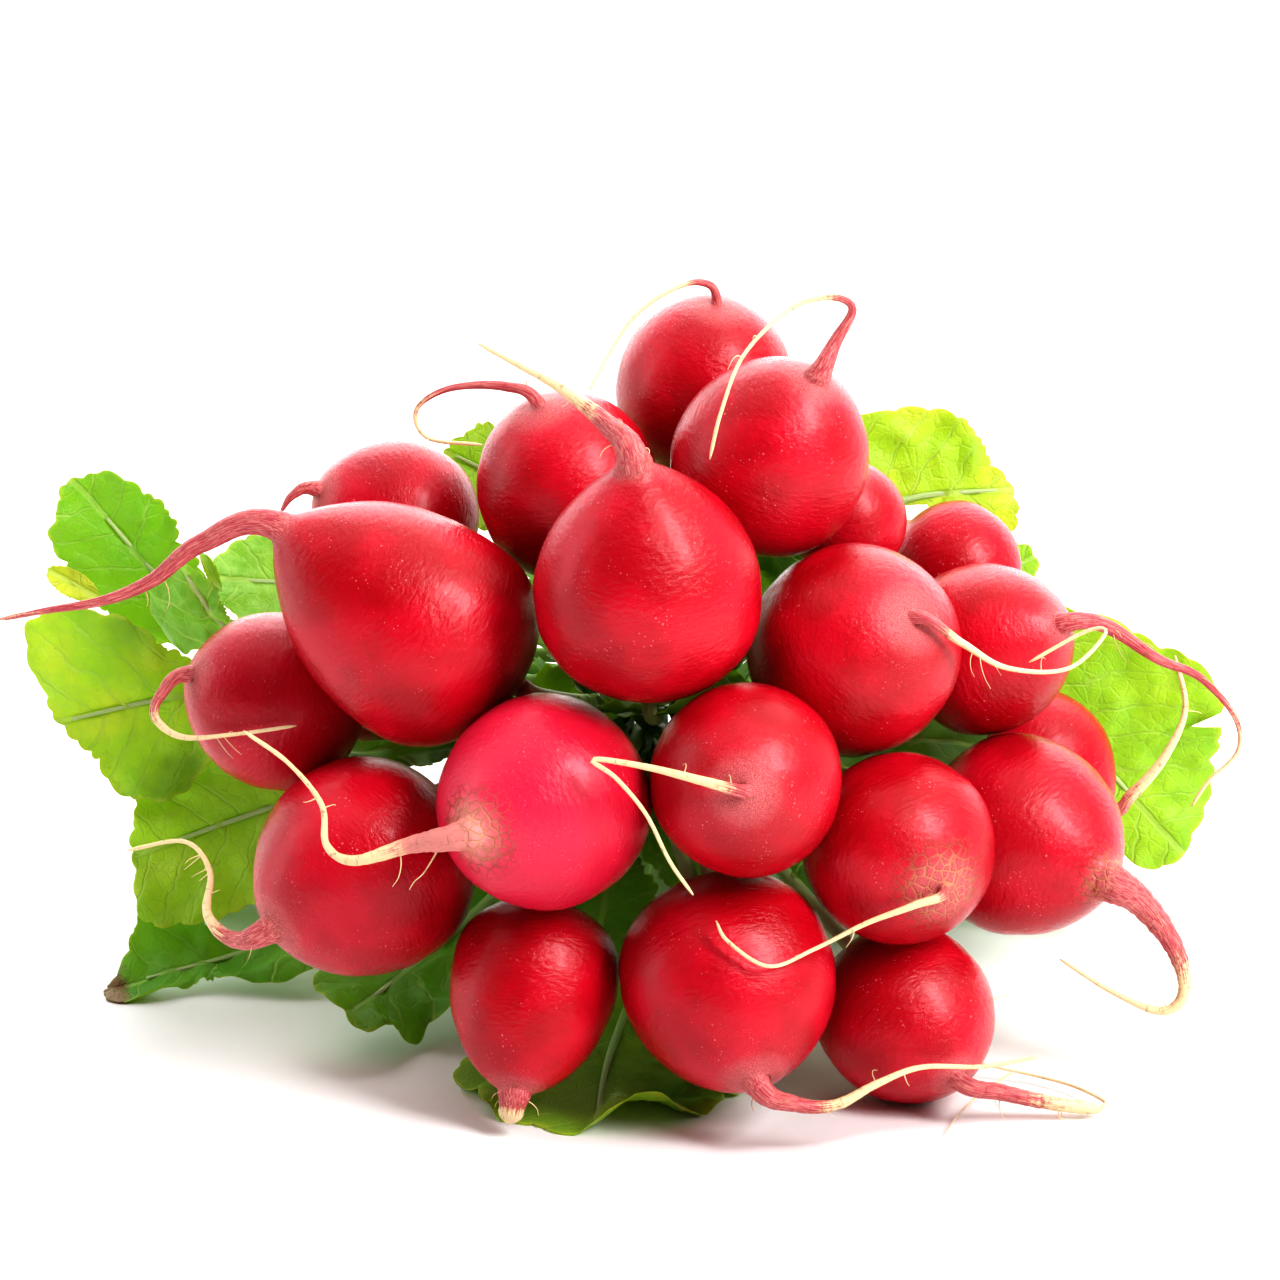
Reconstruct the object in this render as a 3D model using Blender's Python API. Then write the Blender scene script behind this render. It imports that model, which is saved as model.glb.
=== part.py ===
# A bunch of radishes lying on its side: twenty roots with their tails, leaves on stalks, and a band.
# Lengths in the tables are millimetres. X runs to the right, Y from the root tips back to the leaves,
# Z up from the surface that the bunch lies on.
import colorsys
import math
import random

import bpy
import numpy as np

MM = 0.001

# Driving dimensions
BAND_CENTRE = np.array([2.0, 93.0, 55.0])  # where all stalks are gathered
BAND_WIDTH = 7.0
BAND_THICKNESS = 1.6
BAND_SIDES = 24
STALK_RADIUS = 1.4
BAND_MARGIN = 3.0  # how far the stalks stay straight past the band's edges
STALK_PITCH = 3.7  # smallest distance between two stalks' centre lines
BLADE_THICKNESS = 0.9
TOUCH_GAP = 0.3  # clearance where one piece rests against another
CROWN_DEPTH = 0.94  # distance from the root's centre to its crown, as a share of its radius
CROWN_RADIUS = 0.17
CROWN_FULLNESS = 2.5  # how full the body is behind its widest place: 2 is an ellipsoid
CROWN_SPACING = 1.05  # stalks that share a crown stand this many pitches apart
ROOT_SIDES = 14
TAIL_SIDES = ROOT_SIDES // 2
TAIL_STEP = 6.5  # length of tail between two rings
TAIL_TAPER = 1.7  # how soon a tail thins out
ENTRY_POINTS = 18  # points on a stalk from its crown to the band
EXIT_POINTS = 16  # points from the band to the blade
STALK_RINGS = (0, 1, 3, 6, 9, 12, 15, 17, 19, 20, 22, 25, 29, 34)  # points of a stalk's line with a ring
CURVE_STEPS = 12  # steps between two points of a route when it is made smooth

# How the stalks find their places
ROOT_PULL = 1 / 12  # how far the place of its root moves a stalk in the band
BLADE_PULL = 1 / 16  # and the place of its tip
GATHER = 0.97  # what is left of a stalk's distance from the band's centre after each round
GATHER_ROUNDS = 4  # times that the stalks are pushed apart in each round
ENTRY_PULL = 0.38  # how straight a stalk comes to the band, as a share of its way there
CROWN_PULL = 0.6  # how straight it leaves its crown, as a share of that
ROOT_CLEARANCE = 1.0
OWN_POINTS = 8  # points of a stalk that may be near its own root
STRAIGHTEN = 0.22
SETTLE_ROUNDS = 160

BACK_STATIONS = (-1.0, -0.9, -0.66, -0.32)  # rings behind the widest place, as shares of the crown depth
FRONT_STATIONS = (0.0, 0.3, 0.56, 0.77, 0.91)  # rings in front of it, as shares of the neck distance
BLADE_STATIONS = (0.0, 0.14, 0.28, 0.42, 0.56, 0.69, 0.81, 0.91, 0.98)
SECTION = (1.0, 0.4, -0.4, -1.0, -0.4, 0.4)  # across a blade: over its top, then back under it
BLEND_SHARE = 0.14  # share of the blade over which the round stalk becomes flat
BASE_POWER = 0.9  # how the blade widens from its stalk
TIP_POWER = 0.45  # and how it narrows to its tip
WIDEST = BASE_POWER / (BASE_POWER + TIP_POWER)
WIDEST_FORM = WIDEST**BASE_POWER * (1 - WIDEST) ** TIP_POWER
WAVE_DEPTH = 0.07
WAVE_TURN = 7.0  # radians of wave along a blade's edge
WAVE_OFFSET = 1.5  # radians between the waves of its two edges

# Colours as ranges of hue, then saturation and value
ROOT_COLOUR = ((0.965, 0.99), 0.97, 0.6)
LEAF_COLOUR = ((0.22, 0.31), 0.9, 0.4)
BAND_COLOUR = (0.55, 0.30, 0.12)
ROOT_ROUGHNESS = 0.32
LEAF_ROUGHNESS = 0.45
BAND_ROUGHNESS = 0.6
SHARP_ANGLE = 50


def radish(centre, radius, neck, point, thick, thin, tail):
    """One root: centre and radius of the round body, neck where the tail begins, how pointed it is,
    and the tail's diameters and route."""
    return dict(
        centre=np.array(centre, float),
        radius=radius,
        neck=np.array(neck, float),
        point=point,
        thick=thick,
        thin=thin,
        tail=[np.array(p, float) for p in tail],
    )


RADISHES = [
    radish((1.4, 24.7, 95.8), 19.7, (-1, 17, 120), 0.85, 5.6, 1.0,
           [(-6, 22, 126), (-14, 28, 131), (-21, 32, 134), (-28, 36, 137)]),
    radish((-37.7, 39.6, 84.3), 20.0, (-63, 36, 104.4), 0.72, 5.0, 1.0,
           [(-77, 38, 101), (-86, 39, 94), (-95, 40, 90), (-105, 41, 88), (-114, 42, 86)]),
    radish((-44.1, 73.2, 96.6), 14.7, (-58.7, 67, 104), 0.6, 3.0, 1.0,
           [(-63.2, 65.5, 103.3), (-65.8, 66, 99.5)]),
    radish((-12.6, 58.5, 106), 16.5, (-18, 52, 123), 0.55, 2.4, 0.8,
           [(-24, 53, 126), (-34, 56, 125), (-40, 57, 121), (-38, 56, 116), (-28, 50, 116)]),
    radish((12, 81.5, 119.5), 16.6, (14, 76, 137), 0.55, 1.8, 0.8,
           [(11, 74, 141), (5, 70, 140), (-1, 67, 136), (-5, 63, 131), (-9, 55, 125)]),
    radish((23, 49.6, 113.4), 17.2, (31, 41, 130), 0.6, 4.4, 0.8,
           [(34, 42, 136), (37, 42, 142), (33, 42, 144), (26, 41, 142), (18, 36, 135), (14, 31, 126),
            (12, 29, 118)]),
    radish((38, 69, 98), 10.8, (36.5, 63, 107.5), 0.6, 2.6, 1.6, [(37, 64.5, 110.5)]),
    radish((38.1, 39, 81.4), 18.9, (47.5, 25, 91), 0.55, 2.4, 0.8,
           [(56, 26, 86), (64, 28, 81), (75, 31, 80), (82, 36, 85), (79, 38, 85), (69, 39, 79)]),
    radish((63.1, 62.6, 75.1), 15.6, (76, 51, 83), 0.7, 3.4, 0.8,
           [(84, 53, 82), (94, 56, 75), (102, 58, 71), (109, 60, 63), (110, 61, 56), (105, 62, 50),
            (102, 62, 45)]),
    radish((59.5, 90, 84), 12.1, (68, 80.5, 78), 0.6, 2.6, 1.6, [(70.5, 79, 74.5)]),
    radish((76, 86, 46.5), 13.6, (89, 80, 39), 0.65, 2.8, 0.9,
           [(93, 79, 42), (99, 80, 49), (103, 82, 58), (101, 84, 68)]),
    radish((69.4, 52, 42.7), 18.3, (84, 36, 39), 0.75, 6.8, 0.8,
           [(90, 36, 35), (96, 35, 27), (98, 34, 19), (94, 34.5, 15), (85, 37, 18), (76, 40, 23)]),
    radish((45.8, 25.5, 48.4), 16.9, (52.5, 10.5, 46), 0.55, 1.9, 0.8,
           [(47, 8, 44), (39, 7.5, 41), (30, 5.5, 37), (22, -0.5, 36), (15, 1, 40), (13, 3, 43)]),
    radish((18.2, 14, 64.8), 16.7, (17.5, -3, 68), 0.55, 2.2, 0.8,
           [(11, -4, 70), (1, -2, 72), (-8, -1, 73), (-4, -2, 70), (1, -3, 64), (5, -4, 56), (9, -4, 50)]),
    radish((-16.9, 18.1, 59.4), 18.6, (-29, 2, 59), 0.65, 5.2, 0.9,
           [(-39, 5, 56), (-49, 7, 52.5), (-54, 11, 54), (-55, 15, 60), (-61, 20, 66), (-69, 23, 71)]),
    radish((-65.6, 56.3, 67.1), 16.3, (-81, 49, 74), 0.6, 3.0, 0.8,
           [(-86, 46, 71), (-87, 45, 67), (-82, 43, 64), (-72, 38, 66), (-61, 36.5, 68)]),
    radish((-49, 34.5, 42.5), 19.6, (-65, 22, 35), 0.6, 5.0, 0.9,
           [(-72, 25, 32), (-77, 30, 35), (-77, 36, 41), (-82, 41, 45), (-93, 45, 42)]),
    radish((-18.6, 24.7, 25.0), 14.8, (-22, 12.6, 8), 0.55, 5.2, 3.8, [(-23, 11.4, 2.6)]),
    radish((15.4, 18.3, 27.3), 19.0, (20, 2, 14), 0.6, 4.4, 0.9,
           [(27, 3, 9.5), (34, 4, 9), (41, 6, 12), (49, 9, 14), (60, 12, 13), (70, 14, 14)]),
    radish((47.5, 31.5, 15.9), 15.8, (56, 16, 9), 0.7, 3.3, 2.4,
           [(64, 17.5, 6), (73, 19, 3.4), (82, 20, 1.8)]),
]


def leaf(root, width, face, bare, curl, route):
    """One leaf: the root it grows on, blade width, the way its upper face looks, the share of its route
    past the band that is bare stalk, how much it is cupped, and that route's points up to the tip."""
    return dict(
        root=root - 1,
        width=width,
        face=np.array(face, float),
        bare=bare,
        curl=curl,
        route=[np.array(p, float) for p in route],
    )


FLARED_LEAVES = [
    leaf(2, 32, (0.1, -1.0, -0.1), 0.46, 0.10, [(-22, 109, 62), (-56, 112, 62), (-86, 111, 70), (-107, 107, 94)]),
    leaf(16, 40, (0.1, -1.0, 0.2), 0.34, 0.12, [(-22, 105, 55), (-50, 104, 56), (-84, 101, 56), (-117, 97, 50)]),
    leaf(3, 22, (-0.5, -1.0, 0.0), 0.55, -0.25, [(-22, 108, 66), (-50, 98, 64), (-76, 90, 70), (-88, 88, 86)]),
    leaf(1, 22, (0.1, -0.8, 0.6), 0.50, 0.15, [(-14, 111, 66), (-38, 120, 68), (-62, 122, 72), (-86, 120, 74)]),
    leaf(17, 42, (0.1, -1.0, 0.4), 0.36, 0.10, [(-20, 105, 50), (-44, 104, 42), (-70, 99, 34), (-95, 95, 26)]),
    leaf(17, 22, (0.0, -0.6, 1.0), 0.40, 0.30, [(-22, 100, 36), (-42, 97, 20), (-70, 91, 9), (-102, 86, 1)]),
    leaf(18, 26, (0.3, -0.5, 1.0), 0.42, 0.20, [(-8, 103, 40), (-22, 92, 24), (-42, 70, 12), (-56, 46, 8)]),
    leaf(19, 54, (0.0, 0.0, 1.0), 0.38, 0.04, [(1, 103, 34), (2, 98, 14), (-1, 82, 3), (-6, 46, 0), (-8, 11, 0)]),
    leaf(12, 52, (-0.1, -1.0, 0.1), 0.34, 0.10, [(24, 102, 55), (50, 105, 60), (76, 105, 54), (103, 102, 27)]),
    leaf(10, 32, (0.0, -1.0, 0.3), 0.44, 0.12, [(14, 106, 66), (30, 108, 80), (50, 113, 91), (74, 116, 93)]),
    leaf(9, 16, (0.0, -1.0, 0.3), 0.55, 0.15, [(22, 103, 58), (44, 107, 64), (63, 113, 73), (78, 115, 80)]),
    leaf(4, 20, (0.2, -1.0, 0.3), 0.50, 0.15, [(-6, 108, 64), (-15, 113, 80), (-26, 114, 94), (-38, 111, 102)]),
]

# The leaves that lie back from the band in three layers: how long and wide they are, the heights where
# they bend and where they rest, and for each leaf its root and its heading from straight back.
FANS = [
    dict(length=92, width=32, bend=76, rest=62, leaves=[(1, -34), (5, -4), (6, 25), (7, 52)]),
    dict(length=106, width=38, bend=48, rest=31,
         leaves=[(16, -66), (2, -40), (15, -14), (14, 12), (8, 38), (11, 60)]),
    dict(length=118, width=43, bend=15, rest=0.2,
         leaves=[(18, -60), (17, -33), (19, -4), (13, 25), (20, 54)]),
]
FAN_ROUTE = [(0.2, 0.09), (0.42, 1.0), (0.72, 0.62), (1.0, 0.0)]  # shares of the length and of the bend
FAN_BARE = 0.36
FAN_CURL = 0.12
HEADING_SPREAD = 3
LENGTH_SPREAD = (0.88, 1.08)
WIDTH_SPREAD = (0.88, 1.04)


def fan_leaf(fan, root, heading, length, width):
    """A leaf that runs straight out from the band at a heading, to its bend and then down to rest."""
    angle = math.radians(heading)
    route = []
    for share, height in FAN_ROUTE:
        base = fan["rest"] if route else BAND_CENTRE[2]
        forward = share * length
        route.append((BAND_CENTRE[0] + forward * math.sin(angle), BAND_CENTRE[1] + forward * math.cos(angle),
                      base + (fan["bend"] - base) * height))
    return leaf(root, width, (0.0, 0.0, 1.0), FAN_BARE, FAN_CURL, route)


def all_leaves():
    """The flared leaves, then the three fans with their small differences from leaf to leaf."""
    vary = random.Random(11)
    leaves = list(FLARED_LEAVES)
    for fan in FANS:
        for root, heading in fan["leaves"]:
            heading = heading + vary.uniform(-HEADING_SPREAD, HEADING_SPREAD)
            length = fan["length"] * vary.uniform(*LENGTH_SPREAD)
            width = fan["width"] * vary.uniform(*WIDTH_SPREAD)
            leaves.append(fan_leaf(fan, root, heading, length, width))
    return leaves


def unit(vector):
    return vector / np.linalg.norm(vector)


def smooth_path(points, count):
    """A smooth curve through the points, as count points at equal distances along it."""
    ends = [2 * points[0] - points[1]] + list(points) + [2 * points[-1] - points[-2]]
    dense = []
    for a, b, c, d in zip(ends, ends[1:], ends[2:], ends[3:]):
        for t in np.linspace(0.0, 1.0, CURVE_STEPS, endpoint=False):
            dense.append(0.5 * (2 * b + (c - a) * t + (2 * a - 5 * b + 4 * c - d) * t**2
                                + (3 * b - a - 3 * c + d) * t**3))
    dense = np.array(dense + [points[-1]])
    run = np.concatenate([[0.0], np.cumsum(np.linalg.norm(np.diff(dense, axis=0), axis=1))])
    stops = np.linspace(0.0, run[-1], count)
    return np.stack([np.interp(stops, run, dense[:, k]) for k in range(3)], axis=1)


def directions(path):
    return np.array([unit(v) for v in np.gradient(path, axis=0)])


def path_length(path):
    return float(np.linalg.norm(np.diff(path, axis=0), axis=1).sum())


def carried_sides(along):
    """A side vector for each direction, turned as little as possible from one to the next."""
    side = unit(np.cross(along[0], (0.31, 0.17, 0.93)))
    sides = []
    for direction in along:
        side = unit(side - direction * float(side @ direction))
        sides.append(side)
    return np.array(sides)


def round_ring(centre, along, side, radius, count):
    up = np.cross(along, side)
    angles = [math.tau * k / count for k in range(count)]
    return [centre + radius * (math.cos(a) * side + math.sin(a) * up) for a in angles]


def bridge(faces, first, second, count):
    """Quads between two rings of the same count."""
    for k in range(count):
        n = (k + 1) % count
        faces.append((first + k, first + n, second + n, second + k))


def bridge_to_half(faces, first, second, count):
    """Triangles between a ring and the next one, which has half as many corners."""
    half = count // 2
    for k in range(half):
        n = (k + 1) % half
        left, middle, right = first + 2 * k, first + 2 * k + 1, first + (2 * k + 2) % count
        faces += [(left, middle, second + k), (middle, second + n, second + k), (middle, right, second + n)]


def root_axis(root):
    return unit(root["neck"] - root["centre"])


def body_radius(root, station):
    """The root's radius at a station from -1, the crown, through 0 to 1, the neck."""
    if station < 0:
        return root["radius"] * max(CROWN_RADIUS, math.sqrt(1 - abs(station) ** CROWN_FULLNESS))
    swollen = root["radius"] * (1 - station**2) ** root["point"]
    return (swollen**3 + (root["thick"] / 2) ** 3) ** (1 / 3)


def tail_radius(root, share):
    return (root["thin"] + (root["thick"] - root["thin"]) * (1 - share) ** TAIL_TAPER) / 2


def tail_path(root):
    route = [root["centre"], root["neck"]] + root["tail"]
    count = max(3, round(path_length(np.array(route[1:])) / TAIL_STEP) + 1)
    whole = smooth_path(route, 200)
    start = int(np.argmin(np.linalg.norm(whole - root["neck"], axis=1)))
    picks = np.linspace(start, len(whole) - 1, count).round().astype(int)
    return whole[picks]


def root_shape(root):
    """Vertices and faces of one root with its tail, from the crown to the tail's end."""
    axis = root_axis(root)
    neck_distance = float(np.linalg.norm(root["neck"] - root["centre"]))
    tail = tail_path(root)
    along = np.vstack([axis, directions(tail)])
    sides = carried_sides(along)
    vertices, faces = [], []
    for station in BACK_STATIONS + FRONT_STATIONS:
        reach = station * (root["radius"] * CROWN_DEPTH if station < 0 else neck_distance)
        ring = round_ring(root["centre"] + reach * axis, axis, sides[0], body_radius(root, station), ROOT_SIDES)
        vertices += ring
    for ring in range(len(BACK_STATIONS + FRONT_STATIONS) - 1):
        bridge(faces, ring * ROOT_SIDES, (ring + 1) * ROOT_SIDES, ROOT_SIDES)
    last_body = len(vertices) - ROOT_SIDES
    bridge_to_half(faces, last_body, len(vertices), ROOT_SIDES)
    for k, centre in enumerate(tail):
        share = k / (len(tail) - 1)
        vertices += round_ring(centre, along[k + 1], sides[k + 1], tail_radius(root, share), TAIL_SIDES)
        if k:
            bridge(faces, len(vertices) - 2 * TAIL_SIDES, len(vertices) - TAIL_SIDES, TAIL_SIDES)
    faces.append(tuple(reversed(range(ROOT_SIDES))))
    faces.append(tuple(range(len(vertices) - TAIL_SIDES, len(vertices))))
    return vertices, faces


def pushed_apart(points, least, own):
    """How far each point has to move so that it is at least that far from all points not its own."""
    squares = (points**2).sum(axis=1)
    squared = squares[:, None] + squares[None] - 2 * points @ points.T
    first, second = np.nonzero((squared < least**2) & ~own)
    apart = points[first] - points[second]
    distance = np.linalg.norm(apart, axis=1) + 1e-9
    move = np.zeros_like(points)
    np.add.at(move, first, apart * (0.5 * np.clip(least - distance, 0.0, None) / distance)[:, None])
    return move


def stalk_slots(leaves):
    """Each stalk's place in the band, as x and z from its centre: near its root and its blade."""
    slots = []
    for item in leaves:
        entry = RADISHES[item["root"]]["centre"] - BAND_CENTRE
        leaving = item["route"][-1] - BAND_CENTRE
        slots.append(entry[[0, 2]] * ROOT_PULL + leaving[[0, 2]] * BLADE_PULL)
    slots = np.array(slots)
    same = np.eye(len(slots), dtype=bool)
    for _ in range(SETTLE_ROUNDS):
        slots = slots * GATHER
        for _ in range(GATHER_ROUNDS):
            slots = slots + pushed_apart(slots, STALK_PITCH, same)
    return slots


def bezier(a, b, c, d, count):
    t = np.linspace(0.0, 1.0, count)[:, None]
    return a * (1 - t) ** 3 + 3 * b * t * (1 - t) ** 2 + 3 * c * t**2 * (1 - t) + d * t**3


def crown_start(leaves, index):
    """Where a stalk leaves its root: side by side on the crown if the root has several."""
    item = leaves[index]
    root = RADISHES[item["root"]]
    axis = root_axis(root)
    mates = [k for k, other in enumerate(leaves) if other["root"] == item["root"]]
    place = mates.index(index) - (len(mates) - 1) / 2
    reach = root["radius"] * CROWN_DEPTH + 2 * TOUCH_GAP
    across = unit(np.cross(axis, (0.2, 1.0, 0.1)))
    return root["centre"] - axis * reach + across * place * STALK_PITCH * CROWN_SPACING


def settled_stalks(leaves):
    """Each stalk's centre line from its crown through the band to its blade, clear of the others."""
    slots = stalk_slots(leaves)
    lines, blades = [], []
    for index, item in enumerate(leaves):
        start = crown_start(leaves, index)
        slot = BAND_CENTRE + np.array([slots[index][0], 0.0, slots[index][1]])
        straight = np.array([0.0, BAND_WIDTH / 2 + BAND_MARGIN, 0.0])
        before, after = slot - straight, slot + straight
        pull = ENTRY_PULL * float(np.linalg.norm(before - start))
        outward = -root_axis(RADISHES[item["root"]])
        leaving = start + outward * pull * CROWN_PULL
        entry = bezier(start, leaving, before - np.array([0.0, pull, 0.0]), before, ENTRY_POINTS)
        beyond = smooth_path([slot, after] + item["route"], 120)
        beyond = beyond[int(np.argmin(np.linalg.norm(beyond - after, axis=1))):]
        base = int(item["bare"] * len(beyond))
        picks = np.linspace(0, base, EXIT_POINTS).round().astype(int)
        lines.append(np.vstack([entry, slot, beyond[picks]]))
        blades.append(beyond[base:])
    return pushed_stalks(leaves, np.array(lines)), blades


def pushed_stalks(leaves, lines):
    """The same lines, moved clear of one another and of the roots and kept smooth."""
    count, length, _ = lines.shape
    leaf_of = np.repeat(np.arange(count), length)
    own = leaf_of[:, None] == leaf_of[None]
    free = np.ones(length, bool)
    free[[0, 1, ENTRY_POINTS - 1, ENTRY_POINTS, ENTRY_POINTS + 1, length - 1]] = False
    for _ in range(SETTLE_ROUNDS):
        move = pushed_apart(lines.reshape(-1, 3), STALK_PITCH, own).reshape(lines.shape)
        for number, root in enumerate(RADISHES):
            away = lines - root["centre"]
            distance = np.linalg.norm(away, axis=2, keepdims=True)
            keep = root["radius"] + STALK_RADIUS + ROOT_CLEARANCE
            push = away / distance * np.clip(keep - distance, 0.0, None)
            push[[k for k, item in enumerate(leaves) if item["root"] == number], :OWN_POINTS] = 0.0
            move = move + push
        move[:, 1:-1] += STRAIGHTEN * (lines[:, :-2] + lines[:, 2:] - 2 * lines[:, 1:-1])
        lines = lines + np.where(free[None, :, None], move, 0.0)
    return lines


def blade_half_width(item, share):
    """Half the blade's width: narrow at the stalk, widest at two thirds, round at the tip."""
    form = share**BASE_POWER * (1 - share) ** TIP_POWER / WIDEST_FORM
    return max(STALK_RADIUS, item["width"] / 2 * form)


def blade_lift(item, across, half_width, share, seed):
    """How far a blade's surface stands above its midrib: cupped, and wavy towards its edges."""
    start = 1.3 * seed + (WAVE_OFFSET if across > 0 else 0.0)
    wave = WAVE_DEPTH * math.sin(WAVE_TURN * share + start)
    return half_width * across**2 * (item["curl"] + wave)


def leaf_section(item, centre, along, share, seed):
    """Six corners around a leaf: a round stalk that becomes a thin blade as share grows from 0."""
    face = unit(item["face"] - along * float(item["face"] @ along))
    across_way = np.cross(face, along)
    half_width = blade_half_width(item, share)
    blend = min(1.0, share / BLEND_SHARE)
    ring = []
    for k, across in enumerate(SECTION):
        angle = math.tau * k / len(SECTION)
        side = float(np.sign(round(math.sin(angle), 3)))
        stalk = STALK_RADIUS * (math.cos(angle) * across_way + math.sin(angle) * face)
        lift = blade_lift(item, across, half_width, share, seed) + side * BLADE_THICKNESS / 2
        blade = half_width * across * across_way + lift * face
        corner = centre + stalk * (1 - blend) + blade * blend
        corner[2] = max(corner[2], BLADE_THICKNESS / 2 * (1 + side))
        ring.append(corner)
    return ring


def leaf_shape(item, stalk, blade, seed):
    """Vertices and faces of one leaf, from the crown end of its stalk to the blade's tip."""
    blade_picks = [round(share * (len(blade) - 1)) for share in BLADE_STATIONS]
    centres = np.vstack([stalk[list(STALK_RINGS[:-1])], blade[blade_picks]])
    shares = [0.0] * (len(STALK_RINGS) - 1) + list(BLADE_STATIONS)
    vertices, faces = [], []
    for centre, along, share in zip(centres, directions(centres), shares):
        vertices += leaf_section(item, centre, along, share, seed)
        if len(vertices) > len(SECTION):
            bridge(faces, len(vertices) - 2 * len(SECTION), len(vertices) - len(SECTION), len(SECTION))
    faces.append(tuple(reversed(range(len(SECTION)))))
    faces.append(tuple(range(len(vertices) - len(SECTION), len(vertices))))
    return vertices, faces


def band_shape(inner_radius):
    """A closed flat ring around the stalks, with its edges taken off."""
    half, edge = BAND_WIDTH / 2, BAND_THICKNESS * 0.3
    outer_radius = inner_radius + BAND_THICKNESS
    profile = [
        (inner_radius + edge, -half), (outer_radius - edge, -half), (outer_radius, -half + edge),
        (outer_radius, half - edge), (outer_radius - edge, half), (inner_radius + edge, half),
        (inner_radius, half - edge), (inner_radius, -half + edge),
    ]
    vertices, faces = [], []
    for k in range(BAND_SIDES):
        angle = math.tau * k / BAND_SIDES
        vertices += [BAND_CENTRE + (r * math.cos(angle), y, r * math.sin(angle)) for r, y in profile]
        bridge(faces, k * len(profile), (k + 1) % BAND_SIDES * len(profile), len(profile))
    return vertices, faces


def finish(name, colour, roughness):
    material = bpy.data.materials.new(name)
    material.use_nodes = True
    shader = material.node_tree.nodes["Principled BSDF"]
    shader.inputs["Base Color"].default_value = (*colour, 1.0)
    shader.inputs["Roughness"].default_value = roughness
    shader.inputs["Metallic"].default_value = 0.0
    material.diffuse_color = (*colour, 1.0)
    return material


def piece_finish(name, shades):
    """A root's, a leaf's or the band's finish, the hue a little different from piece to piece."""
    if name.startswith("tie"):
        return finish(name, BAND_COLOUR, BAND_ROUGHNESS)
    is_root = name.startswith("radish")
    hues, saturation, value = ROOT_COLOUR if is_root else LEAF_COLOUR
    colour = colorsys.hsv_to_rgb(shades.uniform(*hues), saturation, value)
    return finish(name, colour, ROOT_ROUGHNESS if is_root else LEAF_ROUGHNESS)


def add_piece(name, shape, place, parent, material):
    """An object at its place, its mesh's vertices measured from there."""
    vertices, faces = shape
    mesh = bpy.data.meshes.new(name)
    mesh.from_pydata([tuple((v - place) * MM) for v in vertices], [], faces)
    mesh.shade_smooth()
    mesh.set_sharp_from_angle(angle=math.radians(SHARP_ANGLE))
    mesh.materials.append(material)
    piece = bpy.data.objects.new(name, mesh)
    piece.location = place * MM
    piece.parent = parent
    bpy.context.collection.objects.link(piece)
    return piece


def clear_scene():
    for item in list(bpy.data.objects):
        bpy.data.objects.remove(item, do_unlink=True)


def build_bunch():
    clear_scene()
    leaves = all_leaves()
    shapes = [(f"radish_{k + 1:02d}", root_shape(root), root["centre"]) for k, root in enumerate(RADISHES)]
    stalks, blades = settled_stalks(leaves)
    for k, item in enumerate(leaves):
        shapes.append((f"leaf_{k + 1:02d}", leaf_shape(item, stalks[k], blades[k], k), BAND_CENTRE))
    off_axis = np.linalg.norm(stalks[:, ENTRY_POINTS, [0, 2]] - BAND_CENTRE[[0, 2]], axis=1)
    inner_radius = float(off_axis.max()) + STALK_RADIUS + TOUCH_GAP
    shapes.append(("tie_band", band_shape(inner_radius), BAND_CENTRE))
    corners = np.vstack([np.array(vertices) for _, (vertices, _), _ in shapes])
    lowest, highest = corners.min(axis=0), corners.max(axis=0)
    bottom_centre = np.array([*(lowest + highest)[:2] / 2, lowest[2]])
    bunch = bpy.data.objects.new("bunch", None)
    bunch.location = -bottom_centre * MM
    bpy.context.collection.objects.link(bunch)
    shades = random.Random(7)
    for name, shape, place in shapes:
        add_piece(name, shape, place, bunch, piece_finish(name, shades))


build_bunch()
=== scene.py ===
import math
import random
import bpy
import numpy as np
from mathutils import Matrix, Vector, noise


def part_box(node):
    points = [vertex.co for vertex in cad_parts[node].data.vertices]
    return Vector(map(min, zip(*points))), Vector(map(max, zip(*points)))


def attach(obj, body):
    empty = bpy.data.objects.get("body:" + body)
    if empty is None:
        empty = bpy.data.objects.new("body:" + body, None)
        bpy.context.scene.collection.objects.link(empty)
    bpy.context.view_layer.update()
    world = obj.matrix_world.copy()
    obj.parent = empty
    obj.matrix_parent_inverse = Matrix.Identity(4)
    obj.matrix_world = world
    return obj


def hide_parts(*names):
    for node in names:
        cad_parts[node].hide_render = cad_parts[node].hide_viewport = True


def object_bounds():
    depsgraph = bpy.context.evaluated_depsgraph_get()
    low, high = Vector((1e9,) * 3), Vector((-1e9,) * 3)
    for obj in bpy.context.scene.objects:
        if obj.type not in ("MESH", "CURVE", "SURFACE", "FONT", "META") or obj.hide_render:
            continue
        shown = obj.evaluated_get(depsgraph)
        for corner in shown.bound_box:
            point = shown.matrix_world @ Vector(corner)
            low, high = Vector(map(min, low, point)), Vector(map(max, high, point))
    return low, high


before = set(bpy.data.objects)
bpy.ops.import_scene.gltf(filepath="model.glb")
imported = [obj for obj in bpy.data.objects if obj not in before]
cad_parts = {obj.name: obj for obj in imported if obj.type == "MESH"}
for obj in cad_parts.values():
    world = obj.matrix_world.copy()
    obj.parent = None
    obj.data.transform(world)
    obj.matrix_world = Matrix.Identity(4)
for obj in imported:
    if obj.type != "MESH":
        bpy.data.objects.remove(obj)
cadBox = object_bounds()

print("frame loaded:", len(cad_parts), "nodes")

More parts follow.
